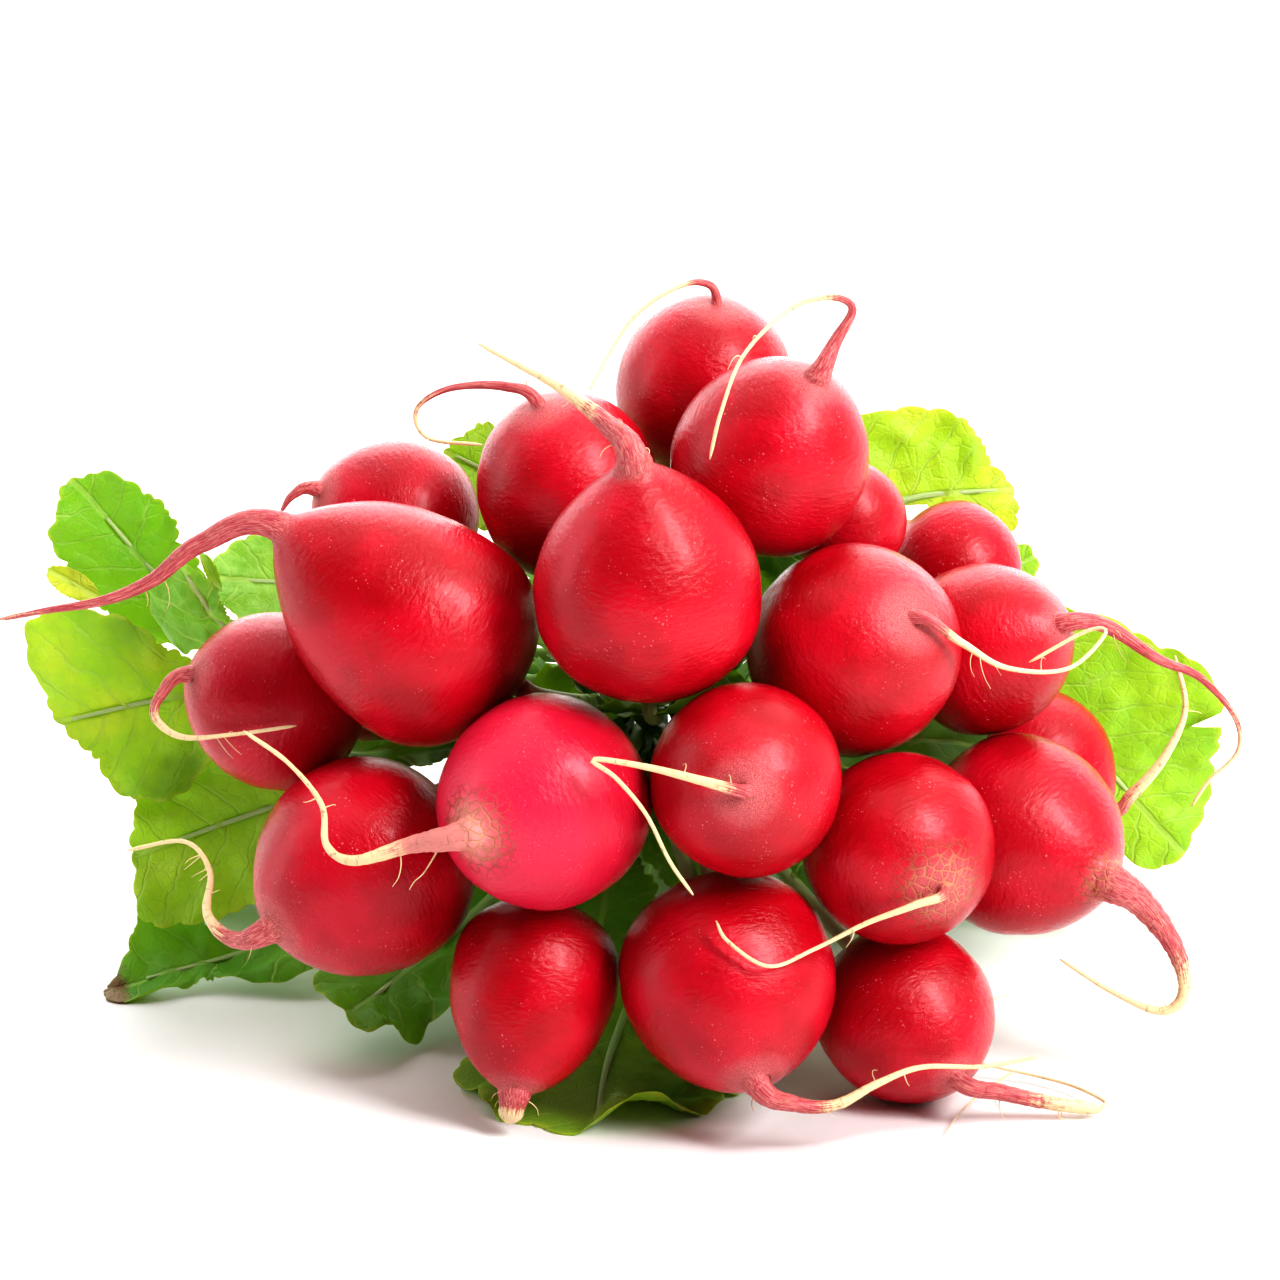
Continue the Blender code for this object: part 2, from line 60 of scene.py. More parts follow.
# The tables below are in millimetres, as in the part's source: x right, y back, z up from the floor.
tieCentre = np.array([2.0, 93.0, 55.0])
tieLow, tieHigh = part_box("tie_band")
toFrame = (np.array(tieLow) + np.array(tieHigh)) * 500 - tieCentre
roomLow, roomHigh = [np.array(corner) * 1000 - toFrame for corner in cadBox]  # the room in the CAD box


def inFrame(points):
    return (np.asarray(points, float) + toFrame) * 0.001


# Shader maths: a Wire is one socket, and a Paint is one material being built.

class Wire:
    def __init__(self, paint, socket):
        self.paint, self.socket = paint, socket

    def __add__(self, other):
        return self.paint.maths("ADD", self, other)

    def __sub__(self, other):
        return self.paint.maths("SUBTRACT", self, other)

    def __rsub__(self, other):
        return self.paint.maths("SUBTRACT", other, self)

    def __mul__(self, other):
        return self.paint.maths("MULTIPLY", self, other)

    def __truediv__(self, other):
        return self.paint.maths("DIVIDE", self, other)

    __radd__ = __add__
    __rmul__ = __mul__


class Paint:
    def __init__(self, name, tree=None):
        if tree is None:
            self.material = bpy.data.materials.new(name)
            self.material.use_nodes = True
            tree = self.material.node_tree
        self.tree = tree
        self.tree.nodes.clear()

    def node(self, kind, settings=None, sockets=None, out=0):
        made = self.tree.nodes.new(kind)
        for key, value in (settings or {}).items():
            setattr(made, key, value)
        for key, value in (sockets or {}).items():
            if isinstance(value, Wire):
                self.tree.links.new(value.socket, made.inputs[key])
            else:
                made.inputs[key].default_value = value
        return Wire(self, made.outputs[out]) if len(made.outputs) else None

    def maths(self, operation, *values):
        return self.node("ShaderNodeMath", {"operation": operation}, dict(enumerate(values)))

    def place(self):
        return self.node("ShaderNodeTexCoord", out="Object")

    def attribute(self, name, out="Fac"):
        return self.node("ShaderNodeAttribute", {"attribute_name": name}, out=out)

    def noise(self, where, scale, detail=2.0, roughness=0.5):
        sockets = {"Vector": where, "Scale": scale, "Detail": detail, "Roughness": roughness}
        return self.node("ShaderNodeTexNoise", {}, sockets)

    def cells(self, where, scale, feature="F1"):
        return self.node("ShaderNodeTexVoronoi", {"feature": feature}, {"Vector": where, "Scale": scale})

    def ease(self, value, low, high):
        limits = {"Value": value, "From Min": low, "From Max": high}
        return self.node("ShaderNodeMapRange", {"interpolation_type": "SMOOTHSTEP"}, limits)

    def blend(self, share, first, second):
        first, second = [c if isinstance(c, Wire) else (*c, 1.0) for c in (first, second)]
        return self.node("ShaderNodeMix", {"data_type": "RGBA"}, {0: share, 6: first, 7: second}, out=2)

    def stretch(self, vector, scale):
        return self.node("ShaderNodeVectorMath", {"operation": "MULTIPLY"}, {0: vector, 1: scale})

    def bump(self, height, strength, distance):
        return self.node("ShaderNodeBump", {}, {"Height": height, "Strength": strength, "Distance": distance})

    # Noise rows hold scale, detail, roughness, and the two levels that turn into 0 and 1.
    def patches(self, where, row):
        scale, detail, roughness, low, high = row
        return self.ease(self.noise(where, scale, detail, roughness), low, high)

    # Strand rows hold how tight the noise is round, round and along a piece, its detail and its roughness.
    def strands(self, grain, row):
        tight, detail, roughness = row
        return self.noise(self.stretch(grain, tight), 1.0, detail, roughness)

    # Cell rows hold the scale and the two distances between which 1 falls to 0.
    def cellMask(self, where, row, feature="F1"):
        scale, near, far = row
        return 1 - self.ease(self.cells(where, scale, feature), near, far)

    def parts(self, vector):
        split = self.node("ShaderNodeSeparateXYZ", {}, {0: vector})
        return [Wire(self, socket) for socket in split.socket.node.outputs]

    def principled(self, colour, rough, normal, more):
        sockets = {"Base Color": colour, "Roughness": rough, "Normal": normal, **more}
        return self.node("ShaderNodeBsdfPrincipled", {}, sockets)

    def surface(self, shader):
        self.node("ShaderNodeOutputMaterial", {}, {"Surface": shader})
        return self.material


skinLook = {
    "deep": (0.38, 0.0018, 0.010), "bright": (0.53, 0.0035, 0.022), "magenta": (0.72, 0.028, 0.085),
    "speckle": (0.84, 0.24, 0.28), "rose": (0.40, 0.040, 0.062), "paleRose": (0.68, 0.25, 0.22),
    "cream": (0.80, 0.63, 0.37), "brown": (0.26, 0.10, 0.04), "scab": (0.60, 0.27, 0.13),
    "crown": (0.42, 0.38, 0.12),
    "cloud": (75, 3.0, 0.5, 0.36, 0.66), "sparse": (170, 3.0, 0.5, 0.47, 0.68),
    "blots": (520, 2.0, 0.5, 0.66, 0.72),
    "streaks": ((9.0, 9.0, 0.09), 4.0, 0.65), "scratches": ((26.0, 26.0, 0.5), 3.0, 0.7),
    "fibres": ((5.0, 5.0, 0.22), 3.0, 0.6), "rings": ((0.35, 0.35, 1.7), 3.0, 0.65),
    "dimples": ((0.60, 0.60, 1.45), 3.0, 0.55), "peelScale": 1250,
    "dots": ((620, 0.05, 0.16), (1150, 0.06, 0.2)), "web": (560, 0.02, 0.12),
    "pinkAmount": 0.75, "pinkLevels": (0.66, 0.98), "pinkAtNeck": 0.28, "dotAmount": 0.65,
    "scratchAmount": 0.20, "scratchLevels": (0.66, 0.74), "creaseAmount": 0.30, "creaseLevels": (0.60, 0.70),
    "fleshLevels": (0.35, 0.75), "fleshBlush": 0.3, "creamLevels": (0.30, 0.62), "creamFibres": 0.9,
    "creamRings": 0.5, "blotAmount": 0.5, "tornAmount": 0.65, "tornLevels": (0.42, 0.72), "tornStreaks": 0.9,
    "peelRelief": 0.55, "dimpleRelief": 1.5, "streakRelief": 0.35, "markRelief": 0.4, "creaseRelief": 0.9,
    "tornRelief": 1.2, "relief": 0.8, "reliefDepth": 0.00017,
    "roughness": 0.20, "roughPeel": 0.20, "roughDimples": 0.16, "roughTail": 0.22, "roughCrown": 0.2,
    "coat": 0.10,
}


def skinPaint():
    look = skinLook
    p = Paint("radishSkin")
    place = p.place()
    grain = p.attribute("grain", "Vector")
    tail, cream, blush, crown, nearNeck, scar = [
        p.attribute(name) for name in ("tail", "cream", "blush", "crown", "nearNeck", "scar")]
    streaks, fineLines, fibres, rings, dimples = [
        p.strands(grain, look[name]) for name in ("streaks", "scratches", "fibres", "rings", "dimples")]
    body = p.blend(p.patches(place, look["cloud"]), look["deep"], look["bright"])
    body = p.blend(blush, body, look["magenta"])
    pinkStreaks = p.ease(streaks + nearNeck * look["pinkAtNeck"], *look["pinkLevels"])
    body = p.blend(pinkStreaks * look["pinkAmount"], body, look["speckle"])
    dots = p.maths("MAXIMUM", *[p.cellMask(place, row) for row in look["dots"]])
    dots = dots * p.patches(place, look["sparse"])
    body = p.blend(dots * look["dotAmount"], body, look["speckle"])
    scratches = p.ease(fineLines, *look["scratchLevels"])
    body = p.blend(scratches * look["scratchAmount"], body, look["speckle"])
    body = p.blend(crown, body, look["crown"])
    paler = p.ease(fibres + blush * look["fleshBlush"], *look["fleshLevels"])
    flesh = p.blend(paler, look["rose"], look["paleRose"])
    isCream = cream + (fibres - 0.5) * look["creamFibres"] + (rings - 0.5) * look["creamRings"]
    flesh = p.blend(p.ease(isCream, *look["creamLevels"]), flesh, look["cream"])
    creases = p.ease(rings, *look["creaseLevels"])
    flesh = p.blend(creases * look["creaseAmount"], flesh, look["brown"])
    flesh = p.blend(p.patches(place, look["blots"]) * look["blotAmount"], flesh, look["brown"])
    torn = p.ease(scar + (streaks - 0.5) * look["tornStreaks"], *look["tornLevels"])
    torn = p.cellMask(place, look["web"], "DISTANCE_TO_EDGE") * torn
    colour = p.blend(torn * look["tornAmount"], p.blend(tail, body, flesh), look["scab"])
    peel = p.noise(place, look["peelScale"], 3.0, 0.6)
    height = peel * look["peelRelief"] + dimples * look["dimpleRelief"] + streaks * look["streakRelief"]
    height = height + (scratches + dots) * look["markRelief"]
    height = height - creases * tail * look["creaseRelief"] - torn * look["tornRelief"]
    rough = look["roughness"] + (peel - 0.5) * look["roughPeel"] + (dimples - 0.5) * look["roughDimples"]
    rough = rough + tail * look["roughTail"] + crown * look["roughCrown"]
    return p.surface(p.principled(colour, rough, p.bump(height, look["relief"], look["reliefDepth"]), {
        "Coat Weight": look["coat"] * (1 - tail), "Coat Roughness": 0.18, "Specular IOR Level": 0.30,
        "Subsurface Weight": 0.02, "Subsurface Radius": (1.0, 0.2, 0.15), "Subsurface Scale": 0.002,
    }))


# Lengths and scales here are in millimetres on the blade.
leafLook = {
    "dark": (0.010, 0.075, 0.008), "green": (0.12, 0.36, 0.030), "lime": (0.47, 0.64, 0.050),
    "yellow": (0.80, 0.66, 0.075), "vein": (0.46, 0.66, 0.16), "brown": (0.20, 0.12, 0.035),
    "pale": (0.50, 0.72, 0.30), "glow": (0.68, 0.92, 0.14), "through": 0.42, "veinShadow": 0.35,
    "ribSpacing": 7.5, "ribSlant": 0.75, "ribOffset": 0.42, "ribDrift": 7.0, "ribWiggle": 1.6,
    "ribEdges": (0.10, 0.55), "ribFade": (6.0, 26.0), "ribFaded": 0.6, "midribEdges": (0.35, 0.95),
    "net": (0.36, 0.02, 0.11), "fineNet": (0.95, 0.02, 0.14),
    "ribAmount": 0.85, "netAmount": 0.30, "fineAmount": 0.12,
    "drift": (0.10, 2.0), "small": (0.42, 3.0, 0.6), "shade": (0.055, 3.0, 0.6), "pimples": (2.6, 3.0, 0.6),
    "specks": (1.1, 2.0, 0.5, 0.70, 0.76), "speckAmount": 0.45,
    "shadeVaries": 0.7, "smallVaries": 0.25, "greenLevels": (0.0, 0.5), "limeLevels": (0.45, 1.0),
    "ageVaries": 1.2, "rimAges": 0.35, "yellowLevels": (0.35, 0.85), "yellowAmount": 0.8,
    "paleLevels": (0.2, 0.8), "rimVaries": 0.12, "rimLevels": (0.955, 1.0), "rimAmount": 0.35,
    "dryVaries": 0.5, "dryLevels": (0.35, 0.60),
    "smallRelief": 0.5, "veinRelief": 0.9, "pimpleRelief": 0.35, "relief": 0.7, "reliefDepth": 0.0005,
    "roughness": 0.40, "roughPimples": 0.25, "roughVeins": 0.08, "roughDry": 0.25,
}


def leafVeins(p, across, along, drift, small, net, fineNet):
    look = leafLook
    away = p.maths("ABSOLUTE", across)
    rise = along - away * look["ribSlant"] + (drift - 0.5) * look["ribDrift"]
    rise = rise + (small - 0.5) * look["ribWiggle"]
    isRight = p.maths("GREATER_THAN", across, 0.0)
    # A whole number of ribs is added so that the phase stays positive.
    phase = p.maths("FRACT", rise / look["ribSpacing"] + isRight * look["ribOffset"] + 40.0)
    toRib = p.maths("ABSOLUTE", phase - 0.5) * look["ribSpacing"]
    ribMask = (1 - p.ease(toRib, *look["ribEdges"])) * (1 - p.ease(away, *look["ribFade"]) * look["ribFaded"])
    midrib = 1 - p.ease(away, *look["midribEdges"])
    main = p.maths("MAXIMUM", ribMask * look["ribAmount"], midrib)
    return p.maths("MAXIMUM", main, net * look["netAmount"] + fineNet * look["fineAmount"])


def leafPaint():
    look = leafLook
    p = Paint("leafBlade")
    spot = p.attribute("spot", "Vector")
    tint, age, dry, ribs, rim, pale = [
        p.attribute(name) for name in ("tint", "age", "dry", "ribs", "rim", "pale")]
    across, along, _ = p.parts(spot)
    drift, small, shade, pimples = [
        p.noise(spot, *look[name]) for name in ("drift", "small", "shade", "pimples")]
    net, fineNet = [p.cellMask(spot, look[name], "DISTANCE_TO_EDGE") for name in ("net", "fineNet")]
    veins = leafVeins(p, across, along, drift, small, net, fineNet)
    ripeness = tint + (shade - 0.5) * look["shadeVaries"] + (small - 0.5) * look["smallVaries"]
    colour = p.blend(p.ease(ripeness, *look["greenLevels"]), look["dark"], look["green"])
    colour = p.blend(p.ease(ripeness, *look["limeLevels"]), colour, look["lime"])
    yellowing = age + (shade - 0.5) * look["ageVaries"] + rim * look["rimAges"] * age
    colour = p.blend(p.ease(yellowing, *look["yellowLevels"]) * look["yellowAmount"], colour, look["yellow"])
    colour = p.blend(pale * p.ease(small, *look["paleLevels"]), colour, look["pale"])
    colour = p.blend(veins * ribs, colour, look["vein"])
    margin = p.ease(rim + (small - 0.5) * look["rimVaries"], *look["rimLevels"])
    colour = p.blend(margin * look["rimAmount"], colour, look["yellow"])
    isDry = p.ease(dry + (small - 0.5) * look["dryVaries"], *look["dryLevels"])
    specks = p.patches(spot, look["specks"]) * look["speckAmount"]
    colour = p.blend(p.maths("MAXIMUM", specks, isDry), colour, look["brown"])
    height = small * look["smallRelief"] - veins * look["veinRelief"] + pimples * look["pimpleRelief"]
    rough = look["roughness"] + (pimples - 0.5) * look["roughPimples"] + veins * look["roughVeins"]
    rough = rough + isDry * look["roughDry"]
    shader = p.principled(colour, rough, p.bump(height, look["relief"], look["reliefDepth"]), {
        "Specular IOR Level": 0.42, "Coat Weight": 0.05, "Coat Roughness": 0.3,
    })
    behind = p.node("ShaderNodeBsdfTranslucent", {}, {"Color": (*look["glow"], 1.0)})
    through = look["through"] * (1 - veins * look["veinShadow"]) * (1 - isDry)
    return p.surface(p.node("ShaderNodeMixShader", {}, {0: through, 1: shader, 2: behind}))


stalkLook = {
    "white": (0.46, 0.58, 0.26), "green": (0.20, 0.42, 0.05), "blush": (0.60, 0.16, 0.16),
    "fibres": ((6.0, 6.0, 0.06), 3.0, 0.6), "patchScale": 160, "hairScale": 900,
    "greenVaries": 0.5, "greenLevels": (0.1, 0.9),
    "pinkVaries": 0.8, "pinkLevels": (0.4, 0.9), "pinkAmount": 0.7,
    "hairRelief": 0.3, "relief": 0.6, "reliefDepth": 0.0003, "roughness": 0.36, "roughFibres": 0.16,
}


def stalkPaint():
    look = stalkLook
    p = Paint("leafStalk")
    grain = p.attribute("grain", "Vector")
    green, pink = p.attribute("green"), p.attribute("pink")
    fibres = p.strands(grain, look["fibres"])
    greened = p.ease(green + (fibres - 0.5) * look["greenVaries"], *look["greenLevels"])
    colour = p.blend(greened, look["white"], look["green"])
    patches = p.noise(p.place(), look["patchScale"], 2.0)
    blushed = p.ease(pink + (patches - 0.5) * look["pinkVaries"], *look["pinkLevels"])
    colour = p.blend(blushed * look["pinkAmount"], colour, look["blush"])
    hairs = p.ease(p.cells(p.place(), look["hairScale"]), 0.0, 0.3)
    height = fibres - hairs * look["hairRelief"]
    rough = look["roughness"] + fibres * look["roughFibres"]
    return p.surface(p.principled(colour, rough, p.bump(height, look["relief"], look["reliefDepth"]), {
        "Subsurface Weight": 0.10, "Subsurface Radius": (0.6, 1.0, 0.3), "Subsurface Scale": 0.002,
    }))


tieLook = {
    "light": (0.52, 0.31, 0.13), "dark": (0.33, 0.17, 0.06), "lines": ((4.0, 4.0, 0.05), 3.0, 0.5),
    "dustScale": 700, "lineShare": 0.6, "levels": (0.35, 0.65), "roughness": 0.5, "roughDust": 0.3,
    "relief": 0.5, "reliefDepth": 0.0002,
    "turns": 4, "strand": 0.85, "gap": 1.9, "steps": 120, "sides": 12, "slack": 0.25, "halfWidth": 2.6,
    "sways": ((0.35, 2, 1.7), (0.2, 5, 1.0)),  # millimetres, waves round the band, and what each turn adds
}


def tiePaint():
    look = tieLook
    p = Paint("tieRubber")
    lines = p.strands(p.attribute("grain", "Vector"), look["lines"])
    dust = p.noise(p.place(), look["dustScale"], 3.0)
    worn = p.ease(lines * look["lineShare"] + dust * (1 - look["lineShare"]), *look["levels"])
    rough = look["roughness"] + (dust - 0.5) * look["roughDust"]
    normal = p.bump(lines, look["relief"], look["reliefDepth"])
    return p.surface(p.principled(p.blend(worn, look["dark"], look["light"]), rough, normal, {}))


skin, blade, stalk, rubber = skinPaint(), leafPaint(), stalkPaint(), tiePaint()
print("materials made")


# Paths and tubes

def unit(vector):
    return vector / np.linalg.norm(vector)


def curveAt(a, b, c, d, t):
    # A smooth curve through b and c, with a before them and d after them.
    return 0.5 * (2 * b + (c - a) * t + (2 * a - 5 * b + 4 * c - d) * t**2 + (3 * b - a - 3 * c + d) * t**3)


def smoothPath(points, count, steps=12):
    ends = [2 * points[0] - points[1]] + list(points) + [2 * points[-1] - points[-2]]
    shares = np.linspace(0.0, 1.0, steps, endpoint=False)
    dense = [curveAt(*four, t) for four in zip(ends, ends[1:], ends[2:], ends[3:]) for t in shares]
    return spread(np.array(dense + [points[-1]]), count)


def runOf(path):
    return np.concatenate([[0.0], np.cumsum(np.linalg.norm(np.diff(path, axis=0), axis=1))])


def spread(path, count):
    run = runOf(path)
    stops = np.linspace(0.0, run[-1], count)
    return np.stack([np.interp(stops, run, path[:, k]) for k in range(3)], axis=1)


def eased(path, rounds):
    path = path.copy()
    for _ in range(rounds):
        path[1:-1] += 0.25 * (path[:-2] + path[2:] - 2 * path[1:-1])
    return path


def directions(path):
    return np.array([unit(v) for v in np.gradient(path, axis=0)])


def carriedSides(along, side=None):
    side = np.cross(along[0], (0.31, 0.17, 0.93)) if side is None else side
    sides = []
    for direction in along:
        side = unit(side - direction * float(side @ direction))
        sides.append(side)
    return np.array(sides)


vectorValues = ("grain", "spot")  # painted values that are places, not numbers


class Shell:
    # The vertices, faces and painted values of one piece, which may be several closed forms.
    def __init__(self, *values):
        self.points, self.faces, self.slots = [], [], []
        self.values = {name: [] for name in values}
        self.count = 0

    def add(self, points, faces, material=0, **values):
        base = self.count
        self.points.append(points)
        self.faces += [[base + k for k in face] for face in faces]
        self.slots += [material] * len(faces)
        self.count += len(points)
        for name, rows in self.values.items():
            given = np.asarray(values.get(name, 0.0), float)
            shape = (len(points), 3) if name in vectorValues else (len(points),)
            rows.append(np.broadcast_to(given, shape))

    def piece(self, name, materials, slot, *nodes):
        mesh = bpy.data.meshes.new(name)
        mesh.from_pydata(inFrame(np.vstack(self.points)).tolist(), [], self.faces)
        for material in materials:
            mesh.materials.append(material)
        mesh.polygons.foreach_set("material_index", self.slots)
        for key, rows in self.values.items():
            kind, field = ("FLOAT_VECTOR", "vector") if key in vectorValues else ("FLOAT", "value")
            layer = mesh.attributes.new(key, kind, "POINT")
            layer.data.foreach_set(field, np.concatenate(rows).ravel())
        mesh.shade_smooth()
        made = bpy.data.objects.new(name, mesh)
        bpy.context.scene.collection.objects.link(made)
        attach(made, "root")
        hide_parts(*nodes)
        return made


def tubeFaces(rings, sides, closed=False):
    faces = []
    for r in range(rings if closed else rings - 1):
        first, second = r * sides, (r + 1) % rings * sides
        for k in range(sides):
            n = (k + 1) % sides
            faces.append((first + k, first + n, second + n, second + k))
    if not closed:
        faces.append(tuple(reversed(range(sides))))
        faces.append(tuple(range((rings - 1) * sides, rings * sides)))
    return faces


def ringPoints(centres, along, sides, radii):
    ups = np.cross(along, sides)
    count = radii.shape[1]
    angles = np.arange(count) * math.tau / count
    out = np.cos(angles)[None, :, None] * sides[:, None] + np.sin(angles)[None, :, None] * ups[:, None]
    return (centres[:, None] + radii[:, :, None] * out).reshape(-1, 3), angles


def grainOf(angles, radii, run):
    # A place on the skin as round, round and along, so that noise can be stretched along it.
    mean = radii.mean(axis=1)[:, None]
    across, down = np.cos(angles)[None] * mean, np.sin(angles)[None] * mean
    return np.stack([across, down, run[:, None] + 0 * across], axis=2).reshape(-1, 3)


def wobble(points, scale, seed):
    return np.array([noise.noise(Vector(p * scale) + Vector((seed * 7.3, seed * 3.1, 0.0))) for p in points])


# The roots

def radish(centre, radius, neck, point, thick, thin, tail):
    return dict(centre=np.array(centre, float), radius=radius, neck=np.array(neck, float), point=point,
                thick=thick, thin=thin, tail=[np.array(p, float) for p in tail])


radishes = [
    radish((1.4, 24.7, 95.8), 19.7, (-1, 17, 120), 0.85, 5.6, 1.0,
           [(-6, 22, 126), (-14, 28, 131), (-21, 32, 134), (-28, 36, 137)]),
    radish((-37.7, 39.6, 84.3), 20.0, (-63, 36, 104.4), 0.72, 5.0, 1.0,
           [(-77, 38, 101), (-86, 39, 94), (-95, 40, 90), (-105, 41, 88), (-114, 42, 86)]),
    radish((-44.1, 73.2, 96.6), 14.7, (-58.7, 67, 104), 0.6, 3.0, 1.0,
           [(-63.2, 65.5, 103.3), (-65.8, 66, 99.5)]),
    radish((-12.6, 58.5, 106), 16.5, (-18, 52, 123), 0.55, 2.4, 0.8,
           [(-24, 53, 126), (-34, 56, 125), (-40, 57, 121), (-38, 56, 116), (-28, 50, 116)]),
    radish((12, 81.5, 119.5), 16.6, (14, 76, 137), 0.55, 1.8, 0.8,
           [(11, 74, 141), (5, 70, 140), (-1, 67, 136), (-5, 63, 131), (-9, 55, 125)]),
    radish((23, 49.6, 113.4), 17.2, (31, 41, 130), 0.6, 4.4, 0.8,
           [(34, 42, 136), (37, 42, 142), (33, 42, 144), (26, 41, 142), (18, 36, 135), (14, 31, 126),
            (12, 29, 118)]),
    radish((38, 69, 98), 10.8, (36.5, 63, 107.5), 0.6, 2.6, 1.6, [(37, 64.5, 110.5)]),
    radish((38.1, 39, 81.4), 18.9, (47.5, 25, 91), 0.55, 2.4, 0.8,
           [(56, 26, 86), (64, 28, 81), (75, 31, 80), (82, 36, 85), (79, 38, 85), (69, 39, 79)]),
    radish((63.1, 62.6, 75.1), 15.6, (76, 51, 83), 0.7, 3.4, 0.8,
           [(84, 53, 82), (94, 56, 75), (102, 58, 71), (109, 60, 63), (110, 61, 56), (105, 62, 50),
            (102, 62, 45)]),
    radish((59.5, 90, 84), 12.1, (68, 80.5, 78), 0.6, 2.6, 1.6, [(70.5, 79, 74.5)]),
    radish((76, 86, 46.5), 13.6, (89, 80, 39), 0.65, 2.8, 0.9,
           [(93, 79, 42), (99, 80, 49), (103, 82, 58), (101, 84, 68)]),
    radish((69.4, 52, 42.7), 18.3, (84, 36, 39), 0.75, 6.8, 0.8,
           [(90, 36, 35), (96, 35, 27), (98, 34, 19), (94, 34.5, 15), (85, 37, 18), (76, 40, 23)]),
    radish((45.8, 25.5, 48.4), 16.9, (52.5, 10.5, 46), 0.55, 1.9, 0.8,
           [(47, 8, 44), (39, 7.5, 41), (30, 5.5, 37), (22, -0.5, 36), (15, 1, 40), (13, 3, 43)]),
    radish((18.2, 14, 64.8), 16.7, (17.5, -3, 68), 0.55, 2.2, 0.8,
           [(11, -4, 70), (1, -2, 72), (-8, -1, 73), (-4, -2, 70), (1, -3, 64), (5, -4, 56), (9, -4, 50)]),
    radish((-16.9, 18.1, 59.4), 18.6, (-29, 2, 59), 0.65, 5.2, 0.9,
           [(-39, 5, 56), (-49, 7, 52.5), (-54, 11, 54), (-55, 15, 60), (-61, 20, 66), (-69, 23, 71)]),
    radish((-65.6, 56.3, 67.1), 16.3, (-81, 49, 74), 0.6, 3.0, 0.8,
           [(-86, 46, 71), (-87, 45, 67), (-82, 43, 64), (-72, 38, 66), (-61, 36.5, 68)]),
    radish((-49, 34.5, 42.5), 19.6, (-65, 22, 35), 0.6, 5.0, 0.9,
           [(-72, 25, 32), (-77, 30, 35), (-77, 36, 41), (-82, 41, 45), (-93, 45, 42)]),
    radish((-18.6, 24.7, 25.0), 14.8, (-22, 12.6, 8), 0.55, 5.2, 3.8, [(-23, 11.4, 2.6)]),
    radish((15.4, 18.3, 27.3), 19.0, (20, 2, 14), 0.6, 4.4, 0.9,
           [(27, 3, 9.5), (34, 4, 9), (41, 6, 12), (49, 9, 14), (60, 12, 13), (70, 14, 14)]),
    radish((47.5, 31.5, 15.9), 15.8, (56, 16, 9), 0.7, 3.3, 2.4,
           [(64, 17.5, 6), (73, 19, 3.4), (82, 20, 1.8)]),
]

# For each root: how pink it is, where along the tail it turns cream (from, to), how creased the tail is,
# and how soon it thins out.
rootLooks = [
    (0.05, 0.14, 0.62, 0.6, 2.0), (0.00, 0.55, 1.60, 0.5, 1.4), (0.10, 0.60, 1.50, 0.5, 1.5),
    (0.05, 0.35, 0.80, 0.3, 2.4), (0.05, 0.10, 0.35, 0.2, 4.0), (0.05, 0.24, 0.40, 0.6, 5.5),
    (0.05, 0.60, 1.20, 0.3, 1.5), (0.00, 0.04, 0.22, 0.3, 4.5), (0.00, 0.50, 0.95, 0.4, 1.9),
    (0.05, 0.60, 1.20, 0.3, 1.5), (0.05, -0.1, 0.45, 0.4, 1.4), (0.10, 0.26, 0.60, 1.0, 1.9),
    (0.00, 0.00, 0.12, 0.2, 4.0), (0.00, 0.00, 0.16, 0.4, 3.0), (0.85, 0.10, 0.42, 1.0, 2.9),
    (0.10, 0.14, 0.42, 0.4, 3.0), (0.10, 0.12, 0.45, 1.0, 3.2), (0.00, 0.10, 1.00, 1.0, 0.8),
    (0.05, 0.12, 0.45, 0.7, 3.0), (0.05, 0.25, 1.05, 0.8, 1.3),
]

# How torn the skin is where the tail begins.
scars = {1: 0.55, 6: 0.4, 8: 0.4, 12: 0.8, 13: 0.9, 15: 0.9, 17: 0.5, 19: 0.4}

rootShape = {
    "sides": 48, "backRings": 24, "frontRings": 44, "tailStep": 0.75, "fewestRings": 12,
    "crownDepth": 0.94, "crownRadius": 0.17, "backPower": 2.5, "flare": 1.16, "flareRun": 1.6,
    "softBefore": 8, "softAfter": 10, "softRounds": 14,  # rings that turn from the body's axis into the tail
    "lump": 0.032, "lumpScale": 0.055, "dent": 0.010, "dentScale": 0.22, "tailLumps": 0.8,
    "crease": 0.10, "creaseScale": 0.9, "fine": 0.07, "fineScale": 2.6, "rounding": (0.95, 0.85, 0.65, 0.35),
    "brokenFrom": 2.0, "slimmer": 0.85,  # a tail thinner than the first value ends slimmer than its solid
    "neckFade": 4.5, "scarFade": 2.5, "skinEnds": (0.2, 1.8), "blushes": (0.45, 0.7),
    "crownEdge": (0.955, 0.04), "wallGap": 0.05,
}


def rootAxis(root):
    return unit(root["neck"] - root["centre"])


def bodyRadii(root, stations):
    shape = rootShape
    bulge = np.sqrt(1 - np.abs(np.minimum(stations, 0)) ** shape["backPower"])
    back = root["radius"] * np.maximum(shape["crownRadius"], bulge)
    swollen = root["radius"] * (1 - np.maximum(stations, 0) ** 2) ** root["point"]
    front = (swollen**3 + (root["thick"] / 2 * shape["flare"]) ** 3) ** (1 / 3)
    return np.where(stations < 0, back, front)


